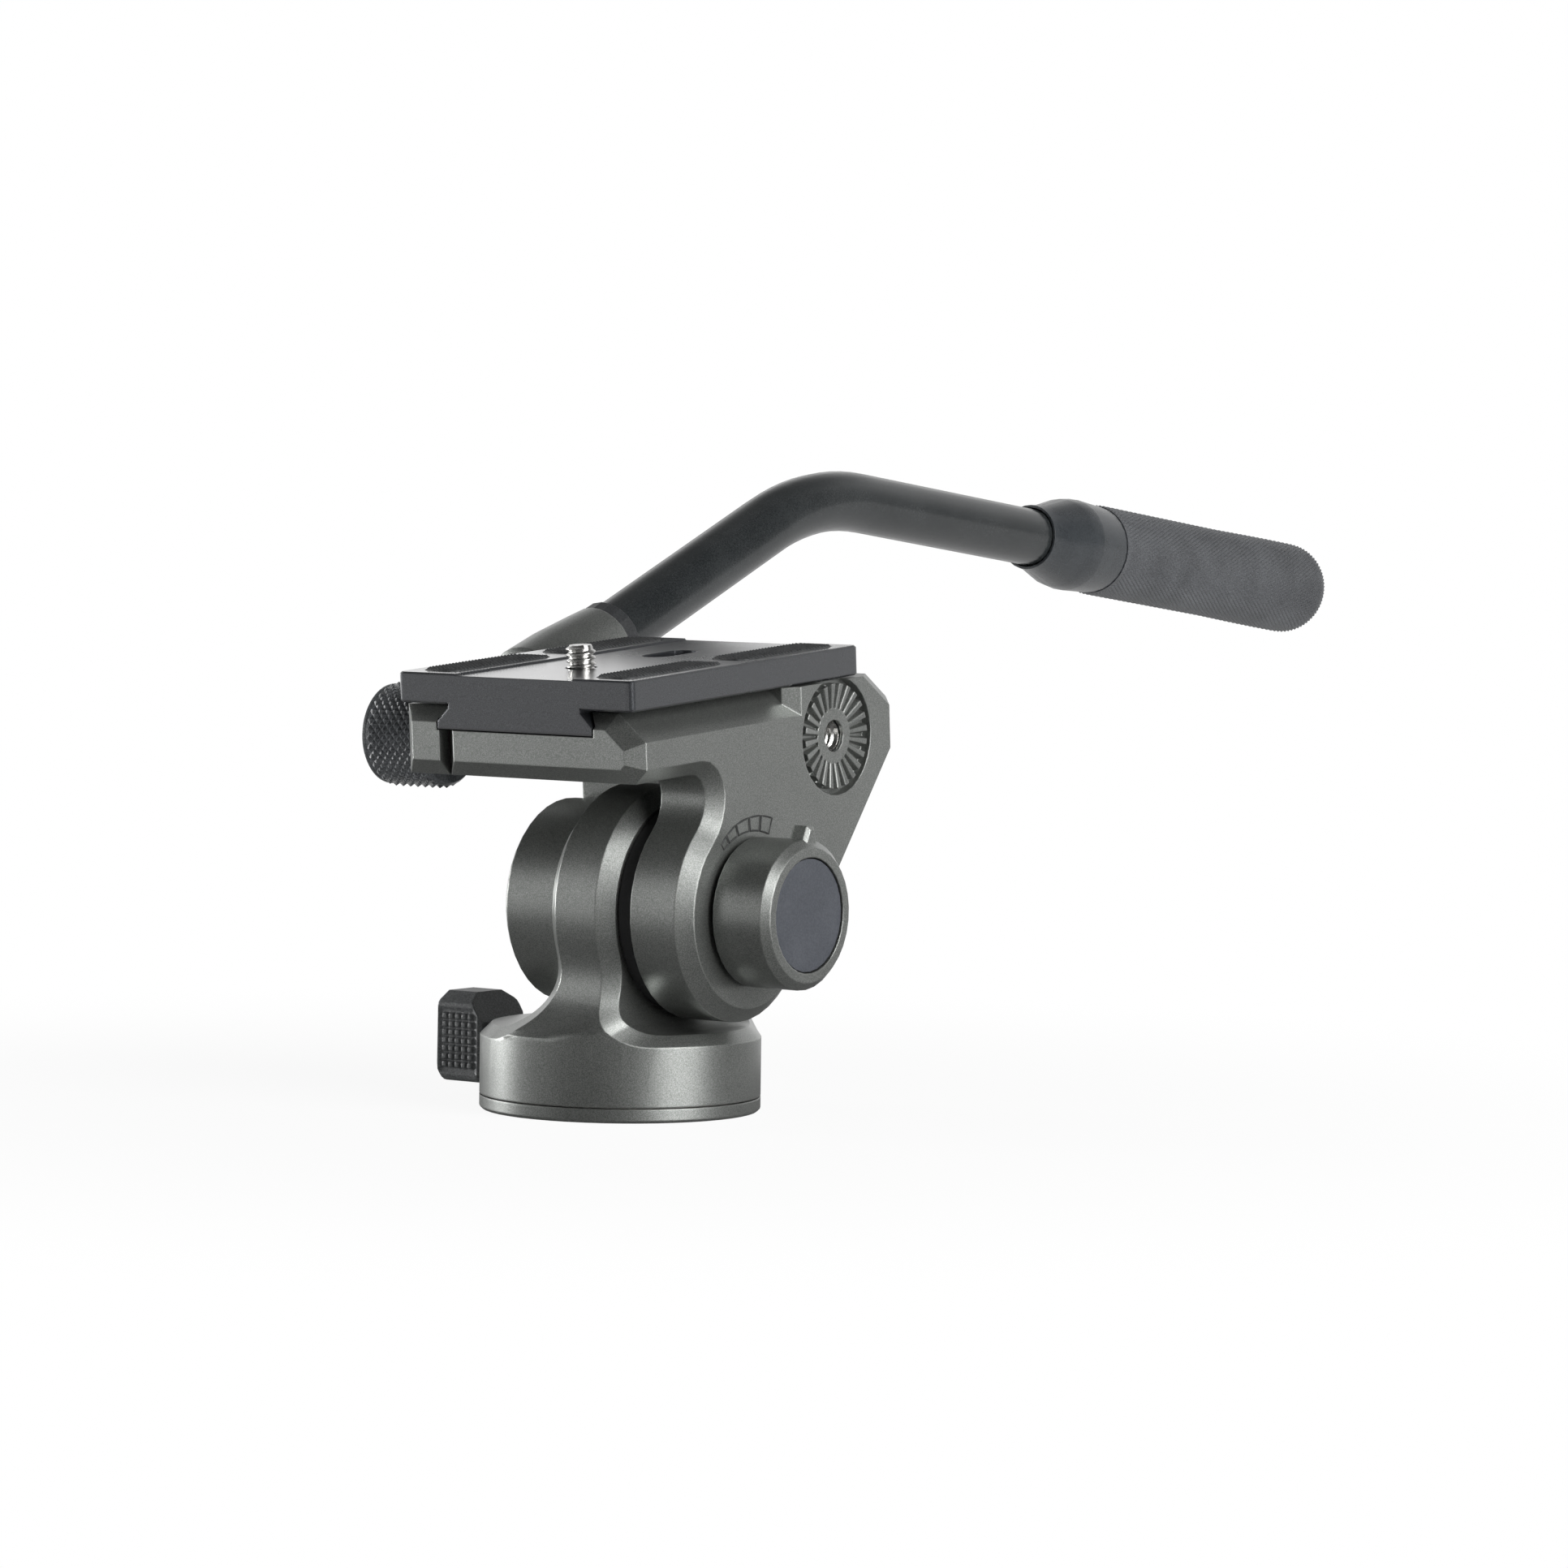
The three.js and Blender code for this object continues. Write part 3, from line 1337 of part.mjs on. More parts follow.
// Clamp bolt that holds the handle's rosette against the head's, with its lobed hand nut
function makeHandleClamp() {
  const clamp = new THREE.Group();
  const right = handleFace - handlePlateThickness - fitGap;
  const left = right - starLength;
  const lobes = Array.from({ length: mostSides / 2 }, (_, i) => {
    const angle = (2 * Math.PI * i) / (mostSides / 2);
    const radius = starRadius - starWave + starWave * Math.cos(starLobes * angle);
    return [radius * Math.cos(angle), radius * Math.sin(angle)];
  });
  const boltEnd = right - starLength / 2;
  const bore = rod(clampBoltRadius + fitGap, boltEnd, right + overrun, "x");
  const star = cut(slabX(outline(lobes), left, right, starWave), bore);
  clamp.add(piece("handle_clamp_knob", star, blackPlastic));
  const reach = -leftBossReach + clampBoltReach;
  clamp.add(piece("handle_clamp_bolt", rod(clampBoltRadius, boltEnd + fitGap, reach, "x"), steel));
  return clamp;
}

const head = new THREE.Group();
head.add(makeBase(), makeHousing(), makePanInside(), makePanLock());

const tilting = new THREE.Group();
tilting.position.z = tiltAxisHeight;
tilting.rotation.x = restTilt;
tilting.add(
  makeTiltBody(),
  makeTiltInside(),
  makeJaw(),
  makeClampKnob(),
  makePlate(),
  makeCameraScrew(),
  makeTiltLock(),
);

const atRosette = new THREE.Group();
atRosette.position.set(0, rosetteSetback, rosetteHeight);
const handle = makeHandle();
handle.rotation.x = handleRise;
atRosette.add(handle, makeHandleClamp());
tilting.add(atRosette);
head.add(tilting);

export default head;
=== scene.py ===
import math

import bmesh
import bpy
from mathutils import Matrix, Vector


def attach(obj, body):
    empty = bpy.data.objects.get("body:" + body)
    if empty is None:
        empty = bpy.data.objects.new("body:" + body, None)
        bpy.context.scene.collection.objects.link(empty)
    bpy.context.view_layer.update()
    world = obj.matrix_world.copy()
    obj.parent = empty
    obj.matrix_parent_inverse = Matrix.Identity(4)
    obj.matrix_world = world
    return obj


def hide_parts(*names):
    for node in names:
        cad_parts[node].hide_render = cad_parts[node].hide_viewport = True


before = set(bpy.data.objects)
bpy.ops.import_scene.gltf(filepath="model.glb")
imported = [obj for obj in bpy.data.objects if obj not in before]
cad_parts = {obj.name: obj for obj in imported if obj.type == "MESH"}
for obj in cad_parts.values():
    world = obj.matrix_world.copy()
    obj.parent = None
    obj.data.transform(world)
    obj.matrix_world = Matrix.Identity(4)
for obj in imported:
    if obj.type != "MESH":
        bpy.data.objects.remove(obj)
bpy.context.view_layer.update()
scene = bpy.context.scene

# Camera: a long lens a good metre away, in front of the head and on its tilt lock side, just above
# the plate. Heading, dip and roll are the photograph's, and so is the square view.
mm = 0.001
view_pixels = 1932
focal_pixels = 7500
sensor = 36
heading, dip, roll = 0.6194319, 0.0571476, 0.0143269
camera_place = Vector((778.071, -1032.568, 143.678)) * mm
camera = bpy.data.objects.new("camera", bpy.data.cameras.new("camera"))
scene.collection.objects.link(camera)
camera.data.sensor_width = sensor
camera.data.lens = focal_pixels / view_pixels * sensor
camera.data.clip_start, camera.data.clip_end = 0.1, 60
turned_to = (
    Matrix.Rotation(heading, 4, "Z")
    @ Matrix.Rotation(math.pi / 2 - dip, 4, "X")
    @ Matrix.Rotation(roll, 4, "Z")
)
camera.matrix_world = Matrix.Translation(camera_place) @ turned_to
scene.camera = camera
scene.view_settings.view_transform = "Standard"


# Studio: a pale floor without an edge, white behind the head and dark behind the camera and
# overhead. A tall soft box stands on the tilt lock side, a small low one on the other side, and a
# faint one in front.
def nodes_of(material):
    material.use_nodes = True
    tree = material.node_tree
    tree.nodes.clear()
    return tree


def node(tree, kind, inputs=None, **settings):
    made = tree.nodes.new(kind)
    for key, value in settings.items():
        setattr(made, key, value)
    for key, value in (inputs or {}).items():
        socket = made.inputs[key]
        if isinstance(value, bpy.types.NodeSocket):
            tree.links.new(value, socket)
        else:
            socket.default_value = value
    return made


def maths(tree, operation, *values, clamp=False):
    inputs = dict(enumerate(values))
    sums = node(tree, "ShaderNodeMath", inputs, operation=operation, use_clamp=clamp)
    return sums.outputs[0]


def along(tree, place, heading):
    product = node(tree, "ShaderNodeVectorMath", {0: place, 1: heading}, operation="DOT_PRODUCT")
    return product.outputs["Value"]


def smooth_step(tree, value, low, high):
    ramp = node(
        tree,
        "ShaderNodeMapRange",
        {"Value": value, "From Min": low, "From Max": high, "To Min": 0.0, "To Max": 1.0},
        interpolation_type="SMOOTHSTEP",
    )
    return ramp.outputs["Result"]


def seen_white(tree):
    rays = node(tree, "ShaderNodeLightPath").outputs
    direct = maths(tree, "MAXIMUM", rays["Is Camera Ray"], rays["Is Transmission Ray"])
    return direct, rays["Is Glossy Ray"]


to_camera = camera_place.normalized()
white = (1, 1, 1, 1)
dark_behind_camera_from, dark_behind_camera_to = -0.8, 0.0
dark_roof_from, dark_roof_to, roof_share = 0.3, 0.8, 0.85
deepest_dark = 0.98
around = 0.15
world = bpy.data.worlds.new("studio")
scene.world = world
room = nodes_of(world)
direct, glossy = seen_white(room)
direction = node(room, "ShaderNodeTexCoord").outputs["Generated"]
height = node(room, "ShaderNodeSeparateXYZ", {"Vector": direction}).outputs["Z"]
behind_camera = along(room, direction, to_camera)
dark_front = smooth_step(room, behind_camera, dark_behind_camera_from, dark_behind_camera_to)
dark_roof = smooth_step(room, height, dark_roof_from, dark_roof_to)
dark = maths(room, "MAXIMUM", dark_front, maths(room, "MULTIPLY", dark_roof, roof_share))
reflected = maths(room, "SUBTRACT", 1.0, maths(room, "MULTIPLY", dark, deepest_dark))
level = maths(
    room,
    "ADD",
    maths(room, "MULTIPLY", glossy, reflected),
    maths(room, "MULTIPLY", maths(room, "SUBTRACT", 1.0, glossy), around),
)
level = maths(room, "MAXIMUM", level, direct)
backdrop = node(room, "ShaderNodeBackground", {"Color": white, "Strength": level})
node(room, "ShaderNodeOutputWorld", {"Surface": backdrop.outputs[0]})

floor_half_width = 25
floor_grey = (0.86, 0.86, 0.86, 1)
near_white_share = 0.92
white_from, white_to = 0.08, 0.3
floor_dark, relit_share = 0.86, 0.6
lit_behind_from, lit_behind_to = -0.05, -0.16
lit_left_from, lit_left_to = 0.15, 0.35
left_front = (-0.58, -0.81, 0)
floor_mesh = bpy.data.meshes.new("floor")
shell = bmesh.new()
bmesh.ops.create_grid(shell, x_segments=1, y_segments=1, size=floor_half_width)
shell.to_mesh(floor_mesh)
shell.free()
floor = bpy.data.objects.new("floor", floor_mesh)
scene.collection.objects.link(floor)
floor_white = bpy.data.materials.new("floor_white")
tree = nodes_of(floor_white)
direct, glossy = seen_white(tree)
place = node(tree, "ShaderNodeTexCoord").outputs["Object"]
away = node(tree, "ShaderNodeVectorMath", {0: place}, operation="LENGTH").outputs["Value"]
far = smooth_step(tree, away, white_from, white_to)
whiteness = maths(tree, "MULTIPLY_ADD", far, 1 - near_white_share, near_white_share)
share = maths(tree, "MAXIMUM", maths(tree, "MULTIPLY", direct, whiteness), glossy)
# In reflections the floor glows only dimly, and brighter behind the head and towards its left
# front: painted shade and painted light on the floor.
lit_behind = smooth_step(tree, along(tree, place, to_camera), lit_behind_from, lit_behind_to)
lit_left = smooth_step(tree, along(tree, place, left_front), lit_left_from, lit_left_to)
dark = maths(tree, "MULTIPLY_ADD", lit_behind, -relit_share, floor_dark)
dark = maths(tree, "MULTIPLY_ADD", lit_left, -relit_share, dark)
reflected = maths(tree, "SUBTRACT", 1.0, maths(tree, "MULTIPLY", glossy, dark))
matt = node(tree, "ShaderNodeBsdfDiffuse", {"Color": floor_grey})
bright = node(tree, "ShaderNodeEmission", {"Color": white, "Strength": reflected})
mix = node(tree, "ShaderNodeMixShader", {0: share, 1: matt.outputs[0], 2: bright.outputs[0]})
node(tree, "ShaderNodeOutputMaterial", {"Surface": mix.outputs[0]})
floor_mesh.materials.append(floor_white)


head_middle = Vector((0, 0.02, 0.06))


def soft_box(name, azimuth, away, up, width, tall, watts):
    lamp = bpy.data.lights.new(name, "AREA")
    lamp.shape = "RECTANGLE"
    lamp.size = width
    lamp.size_y = tall
    lamp.energy = watts
    box = bpy.data.objects.new(name, lamp)
    turn = math.radians(azimuth)
    place = Vector((away * math.sin(turn), -away * math.cos(turn), up))
    aim = head_middle - place
    box.matrix_world = Matrix.Translation(place) @ aim.to_track_quat("-Z", "Y").to_matrix().to_4x4()
    scene.collection.objects.link(box)


soft_box("soft_box_right", azimuth=86, away=1.3, up=0.45, width=0.9, tall=1.1, watts=28)
soft_box("soft_box_left", azimuth=-75, away=1.4, up=0.1, width=0.5, tall=0.5, watts=18)
soft_box("soft_box_front", azimuth=-30, away=1.4, up=0.4, width=0.7, tall=0.7, watts=1.5)


# Foot disc: the head's foot, which stays on the tripod. An aluminium casting under a fine metallic
# grey paint, like the housing, the tilting casting, the jaw, the socket and the tilt lock knob.
def fine_noise(tree, place, scale, detail=2.0):
    fineness = 0.6
    noise = node(
        tree,
        "ShaderNodeTexNoise",
        {"Vector": place, "Scale": scale, "Detail": detail, "Roughness": fineness},
    )
    return noise.outputs["Fac"]


def rounded_edges(tree, radius, highlight_strength):
    # Lightens the colour where the rounded normal turns away from the face: a painted highlight
    # along the edges.
    flat_face, highlit_edge = 0.01, 0.12
    round_edge = node(tree, "ShaderNodeBevel", {"Radius": radius}, samples=4).outputs[0]
    flat = node(tree, "ShaderNodeNewGeometry").outputs["Normal"]
    turned = maths(tree, "SUBTRACT", 1.0, along(tree, round_edge, flat))
    edge_highlight = smooth_step(tree, turned, flat_face, highlit_edge)
    return round_edge, maths(tree, "MULTIPLY", edge_highlight, highlight_strength)


def between(tree, share, dark, light):
    ends = {0: share, 6: (*dark, 1), 7: (*light, 1)}
    return node(tree, "ShaderNodeMix", ends, data_type="RGBA").outputs[2]


def dressed(tree, colour, rough, height, depth, normal, **sockets):
    bump_strength = 0.4
    bump = node(
        tree,
        "ShaderNodeBump",
        {"Height": height, "Strength": bump_strength, "Distance": depth, "Normal": normal},
    )
    skin = node(
        tree,
        "ShaderNodeBsdfPrincipled",
        {"Base Color": colour, "Roughness": rough, "Normal": bump.outputs[0], **sockets},
    )
    node(tree, "ShaderNodeOutputMaterial", {"Surface": skin.outputs[0]})


def speckled_paint(name, dark, light, roughness):
    grain_scale, cloud_scale, flake_scale = 4200.0, 60.0, 4800.0
    cloud_share, glint_share = 0.3, 0.7
    paint = bpy.data.materials.new(name)
    tree = nodes_of(paint)
    place = node(tree, "ShaderNodeTexCoord").outputs["Object"]
    grain = fine_noise(tree, place, grain_scale)
    cloud = fine_noise(tree, place, cloud_scale, detail=3.0)
    flake_cells = {"Vector": place, "Scale": flake_scale}
    flakes = node(tree, "ShaderNodeTexVoronoi", flake_cells, feature="F1")
    lit = node(tree, "ShaderNodeSeparateColor", {"Color": flakes.outputs["Color"]}).outputs[0]
    glint = maths(
        tree,
        "MULTIPLY",
        smooth_step(tree, flakes.outputs["Distance"], low=0.5, high=0.15),
        smooth_step(tree, lit, low=0.7, high=0.95),
    )
    clouded = maths(tree, "MULTIPLY", cloud, cloud_share)
    tone = maths(tree, "ADD", smooth_step(tree, grain, low=0.3, high=0.75), clouded)
    tone = maths(tree, "SUBTRACT", tone, cloud_share / 2, clamp=True)
    tone = maths(tree, "ADD", tone, maths(tree, "MULTIPLY", glint, glint_share), clamp=True)
    # The edges get a painted highlight, added to the paint's colour.
    round_edge, edge_highlight = rounded_edges(tree, radius=0.45 * mm, highlight_strength=0.6)
    tone = maths(tree, "ADD", tone, edge_highlight, clamp=True)
    patchy, smoothest = 0.12, roughness - 0.06
    rough = maths(tree, "MULTIPLY_ADD", cloud, patchy, smoothest)
    grain_depth = 0.02 * mm
    dressed(
        tree,
        between(tree, tone, dark, light),
        rough,
        grain,
        grain_depth,
        round_edge,
        **{"Metallic": 0.85, "Coat Weight": 0.4, "Coat Roughness": 0.3},
    )
    return paint


crease = math.radians(24)
weld, nearly_flat = 0.002 * mm, math.radians(0.4)


def finished(name, shell, material, body, replaced=()):
    mesh = bpy.data.meshes.new(name)
    shell.to_mesh(mesh)
    shell.free()
    if "custom_normal" in mesh.attributes:
        mesh.attributes.remove(mesh.attributes["custom_normal"])
    mesh.materials.clear()
    mesh.materials.append(material)
    made = bpy.data.objects.new(name, mesh)
    scene.collection.objects.link(made)
    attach(made, body)
    if replaced:
        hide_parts(*replaced)
    return made


def shaded(shell, angle=crease):
    for face in shell.faces:
        face.smooth = True
        face.material_index = 0
    for edge in shell.edges:
        edge.smooth = edge.calc_face_angle(0) < angle


def casting_of(node_name):
    shell = bmesh.new()
    shell.from_mesh(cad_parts[node_name].data)
    bmesh.ops.remove_doubles(shell, verts=shell.verts, dist=weld)
    bmesh.ops.dissolve_limit(shell, angle_limit=nearly_flat, verts=shell.verts, edges=shell.edges)
    shaded(shell)
    return shell


def smoothed(made):
    even = made.modifiers.new("even_normals", "WEIGHTED_NORMAL")
    even.keep_sharp = True


def cast(node_name, body):
    shell = casting_of(node_name)
    name = node_name + "_painted"
    smoothed(finished(name, shell, gunmetal, body, [node_name]))


gunmetal = speckled_paint(
    "gunmetal_paint", dark=(0.165, 0.174, 0.166), light=(0.325, 0.335, 0.322), roughness=0.37
)
cast("foot_disc", "base")


# Pan spindle and its threaded bush: turned steel, fixed in the foot disc. The spindle is
# blackened, and the bush is bright and has the three-eighths inch thread for the tripod's screw.
touching = 0.001 * mm


def turned_metal(name, dark, light, roughness):
    metal = bpy.data.materials.new(name)
    tree = nodes_of(metal)
    place = node(tree, "ShaderNodeTexCoord").outputs["Object"]
    marks = fine_noise(tree, place, scale=1500.0)
    stain = fine_noise(tree, place, scale=120.0, detail=3.0)
    # The edges get a painted highlight, added to the metal's colour.
    round_edge, edge_highlight = rounded_edges(tree, radius=0.15 * mm, highlight_strength=0.5)
    tone = maths(tree, "ADD", smooth_step(tree, stain, low=0.3, high=0.8), edge_highlight, clamp=True)
    patchy, smoothest = 0.15, roughness - 0.07
    rough = maths(tree, "MULTIPLY_ADD", stain, patchy, smoothest)
    colour = between(tree, tone, dark, light)
    mark_depth = 0.006 * mm
    dressed(tree, colour, rough, marks, mark_depth, round_edge, Metallic=1.0)
    return metal


def finish_node(node_name, material):
    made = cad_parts[node_name]
    made.data.materials.clear()
    made.data.materials.append(material)


def thread_ridge(shell, root, crest, pitch, start, length):
    root_share, crest_share = 0.46, 0.07
    steps_per_turn = 24
    half, flat = pitch * root_share, pitch * crest_share
    corners = ((root, -half), (crest, -flat), (crest, flat), (root, half))
    profile = [shell.verts.new((radius, 0, start + shift)) for radius, shift in corners]
    face = shell.faces.new(profile)
    turns = length / pitch
    steps = round(steps_per_turn * turns)
    bmesh.ops.spin(
        shell,
        geom=[face, *face.edges, *profile],
        axis=(0, 0, 1),
        cent=(0, 0, 0),
        dvec=(0, 0, length / steps),
        angle=2 * math.pi * turns,
        steps=steps,
    )


def closed(shell):
    bmesh.ops.remove_doubles(shell, verts=shell.verts, dist=touching)
    bmesh.ops.recalc_face_normals(shell, faces=shell.faces)


blackened_steel = turned_metal(
    "blackened_steel", dark=(0.07, 0.07, 0.075), light=(0.16, 0.16, 0.165), roughness=0.42
)
bright_steel = turned_metal(
    "bright_steel", dark=(0.5, 0.5, 0.49), light=(0.72, 0.71, 0.69), roughness=0.26
)
brass = turned_metal(
    "brass", dark=(0.52, 0.38, 0.17), light=(0.74, 0.58, 0.3), roughness=0.3
)
finish_node("pan_spindle", blackened_steel)
finish_node("tripod_thread_bush", bright_steel)
tripod_root, tripod_crest, tripod_pitch = 4.9 * mm, 4.05 * mm, 1.5875 * mm
tripod_start, tripod_length = 1.1 * mm, 6.6 * mm
shell = bmesh.new()
thread_ridge(shell, tripod_root, tripod_crest, tripod_pitch, tripod_start, tripod_length)
shaded(shell)
closed(shell)
finished("tripod_bush_thread", shell, bright_steel, "base")


# Glide ring: a washer stamped from white nylon sheet. It lies loose between foot disc and housing,
# and the housing turns on it.
def moulded(name, dark, light, roughness, grain_scale, bump_depth, edge_radius=0.3 * mm, shine=0.5):
    plastic = bpy.data.materials.new(name)
    tree = nodes_of(plastic)
    place = node(tree, "ShaderNodeTexCoord").outputs["Object"]
    grain = fine_noise(tree, place, grain_scale)
    cloud = fine_noise(tree, place, scale=70.0, detail=3.0)
    # The edges get a painted highlight, added to the plastic's colour.
    round_edge, edge_highlight = rounded_edges(tree, edge_radius, highlight_strength=0.4)
    grain_share, cloud_share = 0.6, 0.4
    clouded = maths(tree, "MULTIPLY", cloud, cloud_share)
    tone = maths(tree, "MULTIPLY_ADD", grain, grain_share, clouded)
    tone = maths(tree, "ADD", smooth_step(tree, tone, low=0.3, high=0.75), edge_highlight, clamp=True)
    patchy, smoothest = 0.14, roughness - 0.07
    rough = maths(tree, "MULTIPLY_ADD", cloud, patchy, smoothest)
    colour = between(tree, tone, dark, light)
    dressed(tree, colour, rough, grain, bump_depth, round_edge, **{"Specular IOR Level": shine})
    return plastic


nylon = moulded(
    "white_nylon",
    dark=(0.55, 0.54, 0.5),
    light=(0.68, 0.67, 0.63),
    roughness=0.5,
    grain_scale=900.0,
    bump_depth=0.01 * mm,
)
finish_node("pan_glide_ring", nylon)

# Pan housing: one aluminium casting, a low drum with the upright grown out of it, painted as the
# foot disc is. It turns on the spindle and carries the tilt axle in the upright's round head.
cast("pan_housing", "pan")

# Inside the housing: the brass ring that holds it on the spindle, the brass shoe that the pan lock
# presses on the spindle, and the tilt axle with its nut and the brass rotor of the fluid damper.
for name in ("pan_retaining_ring", "pan_brake_shoe", "drag_rotor"):
    finish_node(name, brass)
for name in ("tilt_axle", "tilt_axle_nut"):
    finish_node(name, blackened_steel)

# Friction disc: a dull black lining, pinned to the upright in the gap beside the right cheek. The
# tilt lock draws the cheek against it.
friction_lining = moulded(
    "friction_lining",
    dark=(0.006, 0.006, 0.007),
    light=(0.014, 0.014, 0.015),
    roughness=0.7,
    grain_scale=2200.0,
    bump_depth=0.01 * mm,
)
finish_node("tilt_friction_disc", friction_lining)

# Pan lock: a lever moulded in black plastic on a steel screw, which presses the brake shoe. Each of
# its broad faces has a sunk field of blunt pyramids for the thumb.
finish_node("pan_lock_screw", bright_steel)
lever_plastic = moulded(
    "lever_plastic",
    dark=(0.05, 0.054, 0.056),
    light=(0.19, 0.198, 0.2),
    roughness=0.45,
    grain_scale=2600.0,
    bump_depth=0.02 * mm,
    edge_radius=0.6 * mm,
)
field_margin, field_sink = 1.1 * mm, 0.45 * mm
pyramid_pitch, pyramid_height = 1.75 * mm, 0.7 * mm
groove_half_width, pyramid_flank = 0.16 * mm, 0.42 * mm
least_cell_share = 0.45
lines_each_way = 6
least_facing = 0.8
shell = casting_of("pan_lock_lever")
for side in (-1, 1):
    facing = [face for face in shell.faces if face.normal.y * side > least_facing]
    broad = max(facing, key=lambda face: face.calc_area())
    bmesh.ops.inset_region(shell, faces=[broad], thickness=field_margin, depth=-field_sink)
    cells = [broad]
    middle = broad.calc_center_bounds()
    for across in (Vector((1, 0, 0)), Vector((0, 0, 1))):
        for line in range(-lines_each_way, lines_each_way + 1):
            parts = {part for cell in cells for part in (cell, *cell.edges, *cell.verts)}
            cut = bmesh.ops.bisect_plane(
                shell,
                geom=list(parts),
                dist=touching,
                plane_co=middle + across * pyramid_pitch * (line + 0.5),
                plane_no=across,
            )
            cells = [part for part in cut["geom"] if isinstance(part, bmesh.types.BMFace)]
    cells = [cell for cell in cells if cell.calc_area() > least_cell_share * pyramid_pitch**2]
    bmesh.ops.inset_individual(shell, faces=cells, thickness=groove_half_width)
    bmesh.ops.inset_individual(shell, faces=cells, thickness=pyramid_flank, depth=pyramid_height)
cut_crease = math.radians(16)
shaded(shell, cut_crease)
finished(
    "pan_lock_lever_moulded", shell, lever_plastic, "pan_lock", ["pan_lock_lever"]
)

# Fluid damper: a nylon cartridge in the left drum, which drags on the rotor through thick grease,
# behind a cap moulded in black plastic and pressed in.
black_plastic = moulded(
    "black_plastic",
    dark=(0.012, 0.013, 0.014),
    light=(0.045, 0.047, 0.05),
    roughness=0.42,
    grain_scale=2200.0,
    bump_depth=0.015 * mm,
)
finish_node("drag_cartridge", nylon)
finish_node("damper_end_cap", black_plastic)

# Tilting casting: platform, fixed jaw, right cheek, left drum and the two toothed rosettes in one
# painted casting, which swings on the axle. A brass bush lines the cheek's bore.
cast("tilt_body", "tilt")
finish_node("tilt_bush", brass)

# Rosette inserts: bright steel bushes pressed into the middle of each rosette and threaded right
# through, for the handle's bolt on the left and an accessory's on the right.
insert_root, insert_crest, insert_pitch = 3.3 * mm, 2.65 * mm, 1.27 * mm
insert_setback = 0.9 * mm
tilt_axis, nose_down = 44 * mm, math.radians(4.17)
tilted = Matrix.Translation((0, 0, tilt_axis)) @ Matrix.Rotation(nose_down, 4, "X")


def level_box(node_name, matrix):
    back = matrix.inverted()
    places = [back @ vertex.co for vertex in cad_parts[node_name].data.vertices]
    low = Vector([min(place[i] for place in places) for i in range(3)])
    high = Vector([max(place[i] for place in places) for i in range(3)])
    return low, high


along_x = Matrix.Rotation(math.radians(90), 4, "Y")
for side in ("right", "left"):
    finish_node("rosette_insert_" + side, bright_steel)
    low, high = level_box("rosette_insert_" + side, tilted)
    middle = (low + high) / 2
    shell = bmesh.new()
    thread_length = high.x - low.x - 2 * insert_setback
    thread_ridge(shell, insert_root, insert_crest, insert_pitch, insert_setback, thread_length)
    shaded(shell)
    closed(shell)
    to_place = tilted @ Matrix.Translation((low.x, middle.y, middle.z)) @ along_x
    bmesh.ops.transform(shell, matrix=to_place, verts=shell.verts)
    finished("rosette_thread_" + side, shell, bright_steel, "tilt")

# Drag scale: five windows on the cheek beside the knob, which grow towards the locked end. They are
# fine lines, cast a little proud and painted dark.
cheek_side = 34 * mm
scale_inner = 17.0 * mm
scale_outer = ((124, 18.3), (116, 18.8), (104, 19.4), (90, 19.8), (78, 20.2), (66, 20.5))
line_radius = 0.22 * mm
window_lap = 0.7
arc_steps = 5


def scale_point(angle, radius):
    turn = math.radians(angle)
    return tilted @ Vector((cheek_side, radius * math.cos(turn), radius * math.sin(turn)))


lines = bpy.data.curves.new("drag_scale", "CURVE")
lines.dimensions = "3D"
lines.bevel_depth = line_radius
lines.bevel_resolution = 1
lines.use_fill_caps = True
for (first, first_radius), (last, last_radius) in zip(scale_outer, scale_outer[1:]):
    first, last = first - window_lap, last + window_lap
    shares = [i / arc_steps for i in range(arc_steps + 1)]
    turns = [first + (last - first) * share for share in shares]
    reach = [(first_radius + (last_radius - first_radius) * share) * mm for share in shares]
    outline = [scale_point(turn, radius) for turn, radius in zip(turns, reach)]
    outline += [scale_point(turn, scale_inner) for turn in reversed(turns)]
    spline = lines.splines.new("POLY")
    spline.points.add(len(outline) - 1)
    for point, place in zip(spline.points, outline):
        point.co = (*place, 1)
    spline.use_cyclic_u = True
line_paint = moulded(
    "line_paint",
    dark=(0.02, 0.021, 0.021),
    light=(0.04, 0.042, 0.041),
    roughness=0.5,
    grain_scale=2200.0,
    bump_depth=0.01 * mm,
)
lines.materials.append(line_paint)
drag_scale = bpy.data.objects.new("drag_scale", lines)
scene.collection.objects.link(drag_scale)
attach(drag_scale, "tilt")

# Tilt lock knob: a painted casting with a small pointer, on a steel stud that draws the cheek in.
# A satin blue-grey disc is glued into its face.
cast("tilt_lock_knob", "tilt_lock")
finish_node("tilt_lock_stud", bright_steel)
inset_grey = moulded(
    "inset_grey",
    dark=(0.036, 0.04, 0.049),
    light=(0.066, 0.071, 0.083),
    roughness=0.5,
    grain_scale=3000.0,
    bump_depth=0.012 * mm,
)
finish_node("tilt_knob_inset_disc", inset_grey)

# Sliding jaw: the moving side of the plate's dovetail clamp, a small painted casting that slides on
# two steel guide pins.
cast("clamp_jaw", "jaw")
finish_node("jaw_guide_pin_front", bright_steel)
finish_node("jaw_guide_pin_rear", bright_steel)


